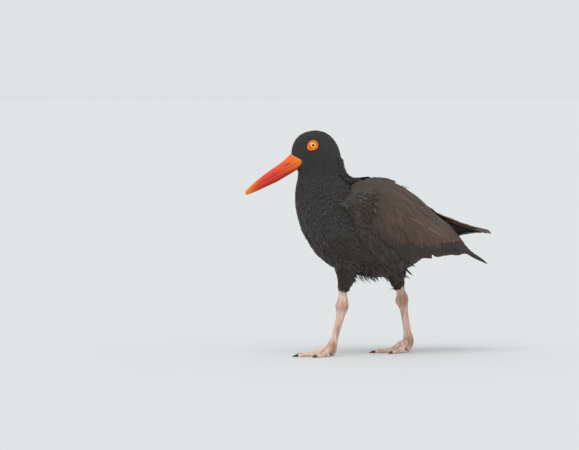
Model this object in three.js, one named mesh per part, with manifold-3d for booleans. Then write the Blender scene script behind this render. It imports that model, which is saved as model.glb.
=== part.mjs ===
// Black oystercatcher in mid-stride, life size, in millimetres, +Z up.
// The bird faces -X and its left side is towards -Y. It stands on the floor, z = 0.
// The head is turned a little to the bird's right, and the left leg is the forward one.
import * as THREE from "three";
import { mergeVertices } from "three/addons/utils/BufferGeometryUtils.js";
import Module from "manifold-3d";

const wasm = await Module();
wasm.setup();

// Driving sizes of the animal
const GAP = 0.3; // between two nodes that meet
const NECK_X = -62; // upright line that the head turns about
const HEAD_TURN = THREE.MathUtils.degToRad(12);
const BODY_SIDES = 20;
const BODY_STEPS = 36;
const EYE = { x: -75.5, z: 272.7, radius: 6.2, deep: 4.1 };
const EYE_RING = { tube: 1.5, tall: 5.1, long: 6.1, front: 1.3, tilt: 35, out: 0.5 };
// A toe's rest is how high its middle lies, as a share of its radius
const TOE = { root: 4.4, tip: 2.5, claw: 8, rest: 0.64 };
const SIDE = { left: -1, right: 1 };

// The body from the bill's root to the tail's root: the back line, the under line and half the width.
// Each row is one section through the body: [back x, back z, under x, under z, half width].
const BODY = [
  [-101.5, 261.5, -94, 241.5, 5],
  [-100.5, 271.5, -91.5, 237, 8.5],
  [-94.5, 282.5, -90.5, 233.5, 13],
  [-84.5, 289.8, -91.5, 229.5, 17],
  [-70.5, 292.8, -93.5, 225, 19.5],
  [-56.5, 290.3, -95.5, 219, 20.5],
  [-45.2, 281.8, -97, 212, 21],
  [-37.4, 268.5, -98, 204, 22.5],
  [-33.4, 253, -98, 195, 26],
  [-30, 239.5, -96.5, 186, 31],
  [-22, 231.5, -93, 176, 37],
  [-8, 229, -88.5, 162.5, 43],
  [6, 227, -80, 146.5, 47],
  [20, 225, -66.5, 128, 50],
  [34, 222, -45.5, 112, 52],
  [49, 216, -17, 103, 52],
  [63, 209.5, 12, 98.5, 49],
  [76, 200.5, 38, 100.5, 44],
  [87, 190.5, 60, 110, 36],
  [97, 181.5, 82, 124, 27],
  [107, 177.2, 102, 140, 20],
  [118, 174, 116, 151.5, 17],
  [132, 168.6, 130, 161.5, 14],
];
const HEAD_ENDS_AT = 8.2; // row of BODY where the head meets the neck
const NECK_ENDS_AT = 11.2; // row of BODY where the neck meets the torso

// The bill, from gape to tip, in the head's unturned frame:
// [x, culmen z, mouth line z, under z, half width].
const BILL = [
  [-83.5, 256.2, 254.4, 252.4, 18.6],
  [-88, 259.2, 252.6, 247.2, 17.2],
  [-93, 262, 250.2, 241.6, 13.9],
  [-101, 261.2, 246.3, 236.3, 8.3],
  [-110, 253.4, 241.3, 231.1, 6.1],
  [-120, 246, 235, 225.3, 4.9],
  [-134.7, 236, 226.9, 218.7, 3.9],
  [-148, 225.6, 218.3, 212.7, 2.9],
  [-158.5, 216.2, 212.2, 209, 1.9],
  [-161, 213.2, 211.2, 209.5, 1.3],
];

// The folded wing as a sheet: its upper edge, middle and lower edge, from the wrist to the tip of the
// longest flight feather, as [x, distance from the midline, z].
const WING = {
  upper: [
    [-45, 41, 203],
    [-22, 28, 224],
    [15, 22, 226.5],
    [50, 20, 214],
    [84, 18, 189],
    [108, 20, 170],
    [132, 23, 142],
    [157, 26, 119.8],
  ],
  middle: [
    [-47, 42, 199],
    [-28, 48, 197],
    [2, 54, 186],
    [33, 56, 172],
    [64, 51, 160],
    [94, 41, 149],
    [124, 32, 136],
    [158, 27, 118.8],
  ],
  lower: [
    [-46, 42, 195],
    [-32, 46, 172],
    [-8, 48, 145],
    [20, 46, 127],
    [52, 43, 125],
    [88, 38, 128],
    [121, 33, 130],
    [158, 27, 117.8],
  ],
};
const WING_STEPS = 10;
const WING_ACROSS = 6;
const POD = { ends: 0.84, top: 0.03, bottom: 0.95 }; // how much of the wing the vanes' common root fills
const WING_THIN = 1.4;
const WING_LIFT = 2.8; // the least height of the wing off the skin
const WING_DEEP = 16;
const DROOP = { left: 0, right: 14 }; // how much higher the wing's tip is held

// The rows of feathers, the lowest first. Roots and tips are [share of the wing's length, share across
// it], for the row's first and last feather. Half widths and lifts off the wing are in millimetres.
const TIERS = [
  {
    count: 4,
    roots: [[0.58, 0.62], [0.56, 0.4]],
    tips: [[1.01, 0.5], [0.9, 0.2]],
    half: [3.8, 4.8],
    lift: 1.3,
  },
  {
    count: 8,
    roots: [[0.31, 0.55], [0.6, 0.52]],
    tips: [[0.37, 1.03], [0.83, 0.97]],
    half: [6.8, 5.4],
    lift: 1.5,
  },
  {
    count: 6,
    short: true,
    roots: [[0.2, 0.5], [0.52, 0.4]],
    tips: [[0.25, 0.8], [0.69, 0.72]],
    half: [8.6, 8],
    lift: 2.4,
  },
  {
    count: 4,
    roots: [[0.42, 0.4], [0.42, 0.17]],
    tips: [[0.71, 0.62], [0.82, 0.22]],
    half: [7, 5.4],
    lift: 2.2,
  },
  {
    count: 6,
    short: true,
    roots: [[0.11, 0.32], [0.44, 0.22]],
    tips: [[0.16, 0.58], [0.56, 0.48]],
    half: [7.8, 7.2],
    lift: 3.2,
  },
  {
    count: 4,
    short: true,
    roots: [[0.09, 0.14], [0.3, 0.08]],
    tips: [[0.24, 0.34], [0.52, 0.13]],
    half: [7.6, 6.6],
    lift: 3.6,
  },
];
const VANE = {
  stations: [0, 0.14, 0.5, 0.84, 1],
  widths: [0.5, 0.9, 1, 0.84, 0.3],
  rise: [-2.4, 0.6, 1, 1, 0.8], // of the lift, and sunk at the root
  thick: [1, 0.85, 0.8, 0.7, 0.5],
  tilt: -0.6, // one edge of each feather over the next one's
};
const SHORT_VANE = {
  stations: [0, 0.2, 0.78, 1],
  widths: [0.5, 0.95, 0.95, 0.3],
  rise: [-1.6, 0.7, 1, 0.8],
  thick: [1, 0.85, 0.75, 0.5],
  tilt: -0.6,
};
const TAIL_VANE = {
  stations: [0, 0.85, 1],
  widths: [0.8, 1, 0.6],
  thick: [1, 0.8, 0.5],
  tilt: 0.5,
};
const RECTRICES = { count: 12, half: [3.4, 6.6], step: 0.5, root: 0.12 };

const TAIL = {
  root: [108, 168],
  tip: [170, 159.4],
  halfRoot: 13,
  halfTip: 31,
  thick: 9,
  thin: 1.6,
  arch: 4,
  wedge: 0.5,
};

// The legs, joint by joint, as [x, distance from the midline, z]
const LEG = {
  left: {
    hip: [-30, 17, 134],
    coat: [-40.5, 23, 86],
    ankle: [-41, 22, 65],
    foot: [-55, 20, 10.5],
    toeTurn: 0,
  },
  right: {
    hip: [40, 17, 130],
    coat: [58, 21, 86],
    ankle: [61.5, 20, 69.5],
    foot: [69, 18, 14.5],
    toeTurn: 0,
  },
};
const THIGH = { top: 15, upper: 21, middle: 14, bottom: 7.4 };
const KNOB = { deep: 7.8, wide: 6.2, tall: 8.2 }; // half sizes of the joint the toes come from
const SHANK = { top: 6, middle: 6.2, ankle: 8.2 };
const TARSUS = { top: 6.2, middle: 5.2, bottom: 6.4 };
const LEG_FLAT = 0.8; // a leg is this much narrower across than it is deep
const TOES = [
  { name: "inner", angle: 34, length: 37 },
  { name: "middle", angle: 0, length: 47.5 },
  { name: "outer", angle: -34, length: 40 },
];

const colour = (hex, roughness) =>
  new THREE.MeshStandardMaterial({ color: hex, roughness, metalness: 0 });
const FINISH = {
  hood: colour(0x35332f, 0.75),
  body: colour(0x38302b, 0.75),
  wing: colour(0x4f3e33, 0.7),
  bill: colour(0xe8501c, 0.35),
  iris: colour(0xf7c600, 0.1),
  ring: colour(0xee5a17, 0.45),
  leg: colour(0xd9b6a3, 0.55),
  claw: colour(0x4a3a33, 0.45),
};

// Curves through the rows of a table, one value or point at a time
const along = (points, share) =>
  new THREE.CatmullRomCurve3(points, false, "catmullrom", 0.5).getPoint(
    THREE.MathUtils.clamp(share, 0, 1),
  );
const spot = (row, side) => new THREE.Vector3(row[0], side * row[1], row[2]);

// A closed mesh from rings of points, its two ends closed by fans
function ringMesh(rings) {
  const sides = rings[0].length;
  const points = rings.flat();
  const faces = [];
  rings.slice(1).forEach((_, i) => {
    for (let k = 0; k < sides; k++) {
      const a = i * sides + k;
      const b = i * sides + ((k + 1) % sides);
      faces.push(a, b, b + sides, a, b + sides, a + sides);
    }
  });
  [0, rings.length - 1].forEach((end) => {
    const middle = points.length;
    const centre = new THREE.Vector3();
    rings[end].forEach((p) => centre.addScaledVector(p, 1 / sides));
    points.push(centre);
    for (let k = 0; k < sides; k++) {
      const a = end * sides + k;
      const b = end * sides + ((k + 1) % sides);
      if (end) faces.push(a, b, middle);
      else faces.push(b, a, middle);
    }
  });
  return { points, faces };
}

// A solid from points and faces, turned right side out
function solidOf({ points, faces }) {
  const flat = new Float32Array(points.flatMap((p) => [p.x, p.y, p.z]));
  const make = (list) =>
    new wasm.Manifold(
      new wasm.Mesh({ numProp: 3, vertProperties: flat, triVerts: new Uint32Array(list) }),
    );
  const made = make(faces);
  if (made.volume() > 0) return made;
  const turned = [];
  for (let i = 0; i < faces.length; i += 3) turned.push(faces[i], faces[i + 2], faces[i + 1]);
  return make(turned);
}

const loft = (rings) => solidOf(ringMesh(rings));

// A solid from one of three's own closed geometries
function solidFrom(geometry, matrix) {
  const bare = geometry.clone().applyMatrix4(matrix);
  bare.deleteAttribute("normal");
  bare.deleteAttribute("uv");
  const merged = mergeVertices(bare, 1e-4);
  const at = merged.getAttribute("position");
  const points = [];
  for (let i = 0; i < at.count; i++) points.push(new THREE.Vector3().fromBufferAttribute(at, i));
  return solidOf({ points, faces: Array.from(merged.index.array) });
}

const largest = (solid) => solid.decompose().sort((a, b) => b.volume() - a.volume())[0];

function meshOf(name, solid, material) {
  const { vertProperties, triVerts } = largest(solid).getMesh();
  const geometry = new THREE.BufferGeometry();
  geometry.setAttribute("position", new THREE.BufferAttribute(vertProperties, 3));
  geometry.setIndex(new THREE.BufferAttribute(triVerts, 1));
  geometry.computeVertexNormals();
  const mesh = new THREE.Mesh(geometry, material);
  mesh.name = name;
  return mesh;
}

// Turns a point about the neck's upright line, fully at the head and not at all at the torso
function turnHead(point, amount) {
  const angle = -HEAD_TURN * amount;
  const x = point.x - NECK_X;
  const y = point.y;
  point.x = NECK_X + x * Math.cos(angle) - y * Math.sin(angle);
  point.y = x * Math.sin(angle) + y * Math.cos(angle);
  return point;
}

// The body's outline at a row of BODY, which may be between two rows
function bodySection(row) {
  const share = row / (BODY.length - 1);
  const back = along(BODY.map((r) => new THREE.Vector3(r[0], 0, r[1])), share);
  const under = along(BODY.map((r) => new THREE.Vector3(r[2], 0, r[3])), share);
  const half = along(BODY.map((r) => new THREE.Vector3(r[4], 0, 0)), share).x;
  return { back, under, half };
}

// The row of BODY whose section passes through a point of the side view, or null past either end
function rowAt(x, z) {
  const side = (row) => {
    const { back, under } = bodySection(row);
    return (under.x - back.x) * (z - back.z) - (under.z - back.z) * (x - back.x);
  };
  let low = 0;
  let high = BODY.length - 1;
  const start = side(low);
  if (start * side(high) > 0) return null;
  for (let i = 0; i < 30; i++) {
    const middle = (low + high) / 2;
    if (side(middle) * start > 0) low = middle;
    else high = middle;
  }
  return low;
}

// How far the skin is from the midline at a point of the side view, before the head is turned
function skinAt(x, z) {
  const { back, under, half } = bodySection(rowAt(x, z));
  const centre = back.clone().lerp(under, 0.5);
  const up = Math.hypot(x - centre.x, z - centre.z) / (back.distanceTo(under) / 2);
  return half * Math.sqrt(Math.max(0, 1 - up * up));
}

// Moves a point out from the body until it is at least a given height off the skin
function clearOfBody(point, height) {
  const row = rowAt(point.x, point.z);
  if (row === null) return point;
  const { back, under, half } = bodySection(row);
  const centre = back.clone().lerp(under, 0.5);
  const arm = back.distanceTo(under) / 2;
  const out = point.clone().sub(centre);
  const reach = Math.hypot(Math.hypot(out.x, out.z) / arm, out.y / half);
  const needed = 1 + height / out.length() * reach;
  if (reach < needed) point.copy(centre).addScaledVector(out, needed / reach);
  return point;
}

const turnAt = (row) => 1 - THREE.MathUtils.smoothstep(row, 5.5, 11.5);

function bodyRing(row, grow) {
  const { back, under, half } = bodySection(row);
  const centre = back.clone().lerp(under, 0.5);
  const arm = back.clone().sub(under).multiplyScalar(0.5);
  const ring = [];
  for (let k = 0; k < BODY_SIDES; k++) {
    const angle = (2 * Math.PI * k) / BODY_SIDES;
    const out = new THREE.Vector3(0, half * Math.sin(angle), 0).addScaledVector(arm, Math.cos(angle));
    const straight = new THREE.Vector3(0, arm.lengthSq() * Math.sin(angle), 0);
    straight.addScaledVector(arm, half * Math.cos(angle)).normalize();
    out.addScaledVector(straight, grow);
    ring.push(turnHead(centre.clone().add(out), turnAt(row)));
  }
  return ring;
}

function bodySolid(from, to, grow = 0) {
  const rows = [from];
  for (let i = 0; i <= BODY_STEPS; i++) {
    const row = (i * (BODY.length - 1)) / BODY_STEPS;
    if (row > from + 0.05 && row < to - 0.05) rows.push(row);
  }
  rows.push(to);
  return loft(rows.map((row) => bodyRing(row, grow)));
}

// The bill's two halves, with the mouth line between them
function billSection(share, jaw, grow) {
  const row = (column) => along(BILL.map((r) => new THREE.Vector3(r[column], 0, 0)), share).x;
  const x = row(0);
  const culmen = row(1);
  const mouth = row(2);
  const under = row(3);
  const half = row(4) + grow;
  const upper = jaw === "upper";
  const edge = upper ? mouth + GAP / 2 : mouth - GAP / 2;
  const ridge = upper ? culmen : under;
  const rise = upper ? grow : -grow;
  const ring = [];
  const count = 7;
  for (let k = 0; k < count; k++) {
    const angle = (Math.PI * k) / (count - 1);
    const y = half * Math.cos(angle);
    const lift = Math.sin(angle) ** 0.8;
    ring.push(turnHead(new THREE.Vector3(x, y, edge + (ridge - edge) * lift + rise), 1));
  }
  return ring;
}

const BILL_STEPS = 14;

function billHalf(jaw) {
  const rings = [];
  for (let i = 0; i <= BILL_STEPS; i++) rings.push(billSection(i / BILL_STEPS, jaw, 0));
  return loft(rings);
}

// The room the two halves take out of the head
function billRoom() {
  const rings = [];
  for (let i = 0; i <= BILL_STEPS; i++) {
    const lower = billSection(i / BILL_STEPS, "lower", 1.5 * GAP).reverse();
    rings.push([...billSection(i / BILL_STEPS, "upper", 1.5 * GAP), ...lower]);
  }
  rings.unshift(rings[0].map((p) => p.clone().setX(p.x + 2 * GAP)));
  return loft(rings);
}

const NOSTRIL = { x: -109.5, z: 245.4, long: 5.2, tall: 0.8, deep: 1.8, slope: 34 };

function nostril(side) {
  const at = turnHead(new THREE.Vector3(NOSTRIL.x, side * 6.1, NOSTRIL.z), 1);
  const slope = THREE.MathUtils.degToRad(-NOSTRIL.slope);
  const matrix = new THREE.Matrix4().compose(
    at,
    new THREE.Quaternion().setFromEuler(new THREE.Euler(0, slope, -HEAD_TURN, "ZYX")),
    new THREE.Vector3(NOSTRIL.long, NOSTRIL.deep, NOSTRIL.tall),
  );
  return solidFrom(new THREE.SphereGeometry(1, 10, 6), matrix);
}

// The eyes, each a ball with a fleshy ring round it
function eyeBall(side, grow = 0) {
  const size = EYE.radius + grow;
  const y = side * (skinAt(EYE.x, EYE.z) - EYE.deep);
  const matrix = new THREE.Matrix4().compose(
    turnHead(new THREE.Vector3(EYE.x, y, EYE.z), 1),
    new THREE.Quaternion().setFromEuler(new THREE.Euler(Math.PI / 2, 0, 0)),
    new THREE.Vector3(size, size, size),
  );
  return solidFrom(new THREE.SphereGeometry(1, 14, 9), matrix);
}

// The fleshy ring round the eye, drawn out a little towards the bill
function eyeRing(side) {
  const steps = 22;
  const sides = 6;
  const tilt = THREE.MathUtils.degToRad(EYE_RING.tilt);
  const points = [];
  const faces = [];
  for (let i = 0; i < steps; i++) {
    const around = (2 * Math.PI * i) / steps;
    const front = Math.max(0, -Math.cos(around)) ** 3;
    const thick = EYE_RING.tube * (1 + 0.3 * front);
    for (let k = 0; k < sides; k++) {
      const turn = (2 * Math.PI * k) / sides;
      const reach = thick * Math.cos(turn);
      const flat = (EYE_RING.long + EYE_RING.front * front + reach) * Math.cos(around);
      const up = (EYE_RING.tall + reach) * Math.sin(around);
      const x = EYE.x + flat * Math.cos(tilt) - up * Math.sin(tilt);
      const z = EYE.z + flat * Math.sin(tilt) + up * Math.cos(tilt);
      const y = skinAt(x, z) + EYE_RING.out + thick * Math.sin(turn);
      points.push(turnHead(new THREE.Vector3(x, side * y, z), 1));
      const a = i * sides + k;
      const b = i * sides + ((k + 1) % sides);
      const shift = (((i + 1) % steps) - i) * sides;
      faces.push(a, b, b + shift, a, b + shift, a + shift);
    }
  }
  return solidOf({ points, faces });
}

// A point of the folded wing: along is 0 at the wrist and 1 at the tip, across is 0 at the upper edge
function wingPoint(side, share, across) {
  const at = (edge) => along(WING[edge].map((row) => spot(row, SIDE[side])), share);
  const point = at("upper").multiplyScalar((2 * across - 1) * (across - 1));
  point.addScaledVector(at("middle"), 4 * across * (1 - across));
  point.addScaledVector(at("lower"), across * (2 * across - 1));
  point.z += DROOP[side] * THREE.MathUtils.smoothstep(share, 0.3, 1);
  return clearOfBody(point, WING_LIFT);
}

function wingPod(side, grow = 0) {
  const rings = [];
  for (let i = 0; i <= WING_STEPS; i++) {
    const share = (i / WING_STEPS) * POD.ends;
    const outer = [];
    const inner = [];
    for (let k = 0; k <= WING_ACROSS; k++) {
      const across = THREE.MathUtils.lerp(POD.top, POD.bottom, k / WING_ACROSS);
      const point = wingPoint(side, share, across);
      const round = Math.sqrt(Math.sin((Math.PI * k) / WING_ACROSS));
      const fill = round * (1 - THREE.MathUtils.smoothstep(share, 0.5, 0.8));
      const depth = WING_THIN + WING_DEEP * fill + grow;
      outer.push(point.clone().add(new THREE.Vector3(0, SIDE[side] * grow, 0)));
      inner.unshift(point.clone().add(new THREE.Vector3(0, -SIDE[side] * depth, 0)));
    }
    rings.push([...outer, ...inner]);
  }
  return loft(rings);
}

// A feather as a thin closed strip. Each station has its place on the outer face, the way out of the
// wing, the way across the feather, its half width and its thickness.
function vaneSolid(stations) {
  const points = stations.flatMap(({ at, out, across, half, thick, tilt }) =>
    [-1, 1].flatMap((hand) => {
      const outer = at.clone().addScaledVector(across, hand * half).addScaledVector(out, hand * tilt);
      return [outer, outer.clone().addScaledVector(out, -thick)];
    }),
  );
  const faces = [0, 1, 3, 0, 3, 2];
  for (let a = 0; a < points.length - 4; a += 4) {
    const n = a + 4;
    faces.push(a, a + 2, n + 2, a, n + 2, n, a + 1, n + 1, n + 3, a + 1, n + 3, a + 3);
    faces.push(a, n, n + 1, a, n + 1, a + 1, a + 2, a + 3, n + 3, a + 2, n + 3, n + 2);
  }
  const end = points.length - 4;
  faces.push(end, end + 2, end + 3, end, end + 3, end + 1);
  return solidOf({ points, faces });
}

// One feather of a row, laid on the wing from root to tip
function wingVane(side, tier, order) {
  const pick = ([first, final]) => first.map((value, i) => THREE.MathUtils.lerp(value, final[i], order));
  const [rootShare, rootAcross] = pick(tier.roots);
  const [tipShare, tipAcross] = pick(tier.tips);
  const half = THREE.MathUtils.lerp(tier.half[0], tier.half[1], order);
  const form = tier.short ? SHORT_VANE : VANE;
  const shareAt = (u) => THREE.MathUtils.lerp(rootShare, tipShare, u);
  const acrossAt = (u) => THREE.MathUtils.lerp(rootAcross, tipAcross, u);
  const place = (u) => wingPoint(side, shareAt(u), acrossAt(u));
  return vaneSolid(
    form.stations.map((u, j) => {
      const share = shareAt(u);
      const across = acrossAt(u);
      const here = place(u);
      const alongWing = wingPoint(side, share + 0.02, across).sub(wingPoint(side, share - 0.02, across));
      const acrossWing = wingPoint(side, share, across + 0.04).sub(wingPoint(side, share, across - 0.04));
      const out = alongWing.cross(acrossWing).normalize();
      if (out.y * SIDE[side] < 0) out.negate();
      const heading = place(Math.min(1, u + 0.05)).sub(place(u - 0.05));
      return {
        at: here.addScaledVector(out, tier.lift * form.rise[j]),
        out,
        across: out.clone().cross(heading).normalize().multiplyScalar(SIDE[side]),
        half: half * form.widths[j],
        thick: form.thick[j],
        tilt: form.tilt,
      };
    }),
  );
}

function wingSolid(side) {
  const pieces = [wingPod(side)];
  TIERS.forEach((tier) => {
    for (let i = 0; i < tier.count; i++) pieces.push(wingVane(side, tier, i / (tier.count - 1)));
  });
  return wasm.Manifold.union(pieces);
}

// A point of the tail's middle layer: share is 0 at the root, side is -1 or 1 at the edges
function tailPoint(share, side) {
  const half = THREE.MathUtils.lerp(TAIL.halfRoot, TAIL.halfTip, share);
  return new THREE.Vector3(
    THREE.MathUtils.lerp(TAIL.root[0], TAIL.tip[0] - 5 * side * side, share),
    half * side,
    THREE.MathUtils.lerp(TAIL.root[1], TAIL.tip[1], share) - TAIL.arch * side * side * share,
  );
}

// The tail's root, arched across and thin at its end
function tailWedge() {
  const across = 10;
  const rings = [];
  for (let i = 0; i <= 5; i++) {
    const share = (i / 5) * TAIL.wedge;
    const thick = THREE.MathUtils.lerp(TAIL.thick, TAIL.thin, Math.sqrt(share));
    const upper = [];
    const lower = [];
    for (let k = 0; k <= across; k++) {
      const side = ((2 * k) / across - 1) * 0.97;
      const bulge = (thick / 2) * Math.max(0.25, Math.sqrt(1 - side * side));
      upper.push(tailPoint(share, side).add(new THREE.Vector3(0, 0, bulge)));
      lower.unshift(tailPoint(share, side).add(new THREE.Vector3(0, 0, -bulge)));
    }
    rings.push([...upper, ...lower]);
  }
  return loft(rings);
}

// One tail feather: the middle pair lies on top and each next one outwards a little lower
function tailVane(order) {
  const side = (2 * order) / (RECTRICES.count - 1) - 1;
  const rank = Math.abs(order - (RECTRICES.count - 1) / 2) - 0.5;
  const reach = 1 - RECTRICES.half[1] / TAIL.halfTip;
  const out = new THREE.Vector3(0, side * 0.25, 1).normalize();
  return vaneSolid(
    TAIL_VANE.stations.map((u, j) => {
      const share = THREE.MathUtils.lerp(RECTRICES.root, 1, u);
      return {
        at: tailPoint(share, side * reach).addScaledVector(out, 1.2 - RECTRICES.step * rank),
        out,
        across: new THREE.Vector3(0, 1, 0).cross(out).cross(out).negate().normalize(),
        half: THREE.MathUtils.lerp(RECTRICES.half[0], RECTRICES.half[1], u) * TAIL_VANE.widths[j],
        thick: TAIL_VANE.thick[j],
        tilt: -TAIL_VANE.tilt * Math.sign(side),
      };
    }),
  );
}

function tailSolid() {
  const pieces = [tailWedge()];
  for (let i = 0; i < RECTRICES.count; i++) pieces.push(tailVane(i));
  return wasm.Manifold.union(pieces);
}

// A round limb through points, with a radius at each: rings square to the path
function limb(points, radii, sides, steps, { floor = false, flat = 1 } = {}) {
  const rings = [];
  const radius = (share) => along(radii.map((r) => new THREE.Vector3(r, 0, 0)), share).x;
  for (let i = 0; i <= steps; i++) {
    const share = i / steps;
    const at = along(points, share);
    const ahead = along(points, share + 0.02);
    const behind = along(points, share - 0.02);
    const heading = ahead.sub(behind).normalize();
    const sideways = new THREE.Vector3(0, 1, 0).cross(heading).normalize();
    const other = heading.clone().cross(sideways);
    const ring = [];
    for (let k = 0; k < sides; k++) {
      const angle = (2 * Math.PI * k) / sides;
      const p = at.clone();
      p.addScaledVector(sideways, radius(share) * Math.cos(angle));
      p.addScaledVector(other, flat * radius(share) * Math.sin(angle));
      if (floor) p.z = Math.max(0, p.z);
      ring.push(p);
    }
    rings.push(ring);
  }
  return loft(rings);
}

const step = (from, to, distance) =>
  from.clone().add(to.clone().sub(from).setLength(distance));

function thigh(side, grow = 0) {
  const { hip, coat } = LEG[side];
  const from = spot(hip, SIDE[side]);
  const to = spot(coat, SIDE[side]);
  const points = [0, 0.3, 0.62, 1].map((share) => from.clone().lerp(to, share));
  points[3].addScaledVector(to.clone().sub(from).normalize(), grow);
  const radii = [THIGH.top, THIGH.upper, THIGH.middle, THIGH.bottom].map((r) => r + grow);
  return limb(points, radii, 14, 8, { flat: 0.85 });
}

function shank(side) {
  const { coat, ankle, foot } = LEG[side];
  const top = spot(coat, SIDE[side]);
  const joint = spot(ankle, SIDE[side]);
  const end = step(joint, spot(foot, SIDE[side]), 5);
  const points = [top, top.clone().lerp(joint, 0.5), joint, end];
  const radii = [SHANK.top, SHANK.middle, SHANK.ankle, TARSUS.top + 0.6];
  return limb(points, radii, 10, 8, { flat: LEG_FLAT }).subtract(thigh(side, GAP));
}

function tarsus(side) {
  const joint = spot(LEG[side].ankle, SIDE[side]);
  const foot = spot(LEG[side].foot, SIDE[side]);
  const from = step(joint, foot, 5 + GAP);
  const radii = [TARSUS.top, TARSUS.middle, TARSUS.middle, TARSUS.bottom];
  const points = [from, from.clone().lerp(foot, 0.3), from.clone().lerp(foot, 0.75), foot];
  return limb(points, radii, 10, 8, { flat: LEG_FLAT }).add(footKnob(side));
}

// The joint at the foot, with the heel's pad under it
function footKnob(side, grow = 0) {
  const centre = spot(LEG[side].foot, SIDE[side]);
  const size = new THREE.Vector3(KNOB.deep + grow, KNOB.wide + grow, KNOB.tall + grow);
  const matrix = new THREE.Matrix4().compose(centre, new THREE.Quaternion(), size);
  return solidFrom(new THREE.SphereGeometry(1, 12, 8), matrix);
}

// Points of a toe, from the foot's joint down to the floor and along it
function toePath(side, toe) {
  const foot = spot(LEG[side].foot, SIDE[side]);
  const angle = THREE.MathUtils.degToRad(toe.angle * -SIDE[side]);
  const heading = new THREE.Vector3(-Math.cos(angle), -Math.sin(angle), 0);
  const shares = [0, 0.22, 0.5, 0.8, 1];
  return shares.map((share) => {
    const p = foot.clone().addScaledVector(heading, toe.length * share);
    const drop = THREE.MathUtils.smoothstep(share, 0, 0.6);
    const rest = THREE.MathUtils.lerp(TOE.root, TOE.tip, share) * TOE.rest;
    p.z = THREE.MathUtils.lerp(foot.z, rest, drop);
    return p;
  });
}

function toeSolid(side, toe, grow = 0) {
  const radii = [TOE.root, 4, 3.6, 3, TOE.tip].map((r) => r + grow);
  return limb(toePath(side, toe), radii, 8, 7, { floor: true });
}

function clawSolid(side, toe) {
  const path = toePath(side, toe);
  const end = path[path.length - 1];
  const heading = end.clone().sub(path[path.length - 2]).setZ(0).normalize();
  const points = [GAP, 3, 6, TOE.claw].map((distance, i) => {
    const p = end.clone().addScaledVector(heading, distance);
    p.z = [1.9, 1.9, 1.5, 0.9][i];
    return p;
  });
  return limb(points, [1.9, 1.6, 1.1, 0.4], 6, 4, { floor: true });
}

// Putting the bird together
const bird = new THREE.Group();
const add = (name, solid, material) => bird.add(meshOf(name, solid, material));

const last = BODY.length - 1;
const cutGap = GAP / 9; // a gap of GAP, in rows of BODY
const headSpace = bodySolid(0, HEAD_ENDS_AT, GAP);
const bodySpace = bodySolid(6, last, 1.5 * GAP);

let head = bodySolid(0, HEAD_ENDS_AT - cutGap).subtract(billRoom());
let upperBill = billHalf("upper");
Object.entries(SIDE).forEach(([name, side]) => {
  const ball = eyeBall(side, GAP);
  head = head.subtract(ball);
  upperBill = upperBill.subtract(nostril(side));
  add(`eye_${name}`, eyeBall(side), FINISH.iris);
  add(`eye_ring_${name}`, eyeRing(side).subtract(ball).subtract(headSpace), FINISH.ring);
});
add("bill_upper", upperBill, FINISH.bill);
add("bill_lower", billHalf("lower"), FINISH.bill);
add("head", head, FINISH.hood);
add("neck", bodySolid(HEAD_ENDS_AT, NECK_ENDS_AT - cutGap), FINISH.hood);
add("torso", bodySolid(NECK_ENDS_AT, last), FINISH.body);
add("tail", tailSolid().subtract(bodySpace), FINISH.body);

Object.keys(SIDE).forEach((side) => {
  const wingSpace = wingPod(side, 3);
  add(`wing_${side}`, wingSolid(side).subtract(bodySpace), FINISH.wing);
  add(`thigh_${side}`, thigh(side).subtract(bodySpace).subtract(wingSpace), FINISH.body);
  add(`shank_${side}`, shank(side), FINISH.leg);
  add(`tarsus_${side}`, tarsus(side), FINISH.leg);
  const knob = footKnob(side, GAP);
  const middle = toeSolid(side, TOES[1], GAP);
  TOES.forEach((toe) => {
    let solid = toeSolid(side, toe).subtract(knob);
    if (toe.angle) solid = solid.subtract(middle);
    add(`toe_${toe.name}_${side}`, solid, FINISH.leg);
    add(`claw_${toe.name}_${side}`, clawSolid(side, toe), FINISH.claw);
  });
});

// The origin is the middle of the bird's footprint, at floor level
const box = new THREE.Box3().setFromObject(bird);
const middle = box.getCenter(new THREE.Vector3());
bird.position.set(-middle.x, -middle.y, -box.min.z);

export default bird;
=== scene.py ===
# %% [markdown]
# # A black oystercatcher, feather by feather
# The solids of the bird are loaded as a fixed frame. This lesson gives them their looks: one skin
# under a coat of small solid feathers, wings and tail built from long vanes, a horn bill, wet eyes
# in fleshy rings, and scaled legs. Blender works in metres; sizes of the bird are in millimetres.

import math

import bmesh
import bpy
import numpy as np
from mathutils import Matrix, Vector
from mathutils.bvhtree import BVHTree


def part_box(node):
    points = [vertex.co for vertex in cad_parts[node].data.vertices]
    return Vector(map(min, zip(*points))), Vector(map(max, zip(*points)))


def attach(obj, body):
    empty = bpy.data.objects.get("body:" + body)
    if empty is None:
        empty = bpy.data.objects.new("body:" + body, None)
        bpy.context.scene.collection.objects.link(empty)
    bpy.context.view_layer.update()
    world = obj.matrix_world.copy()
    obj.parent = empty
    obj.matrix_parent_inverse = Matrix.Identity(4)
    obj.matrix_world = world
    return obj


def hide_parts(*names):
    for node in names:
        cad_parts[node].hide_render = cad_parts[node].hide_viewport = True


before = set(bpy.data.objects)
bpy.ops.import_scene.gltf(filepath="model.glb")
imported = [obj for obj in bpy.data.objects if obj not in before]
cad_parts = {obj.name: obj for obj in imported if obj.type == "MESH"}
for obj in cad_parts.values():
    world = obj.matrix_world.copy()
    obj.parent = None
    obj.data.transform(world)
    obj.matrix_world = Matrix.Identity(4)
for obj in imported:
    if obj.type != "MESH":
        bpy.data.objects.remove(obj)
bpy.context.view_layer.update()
MM = 0.001
SIDES = {"left": -1, "right": 1}
print("solids loaded:", len(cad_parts), "nodes")

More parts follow.
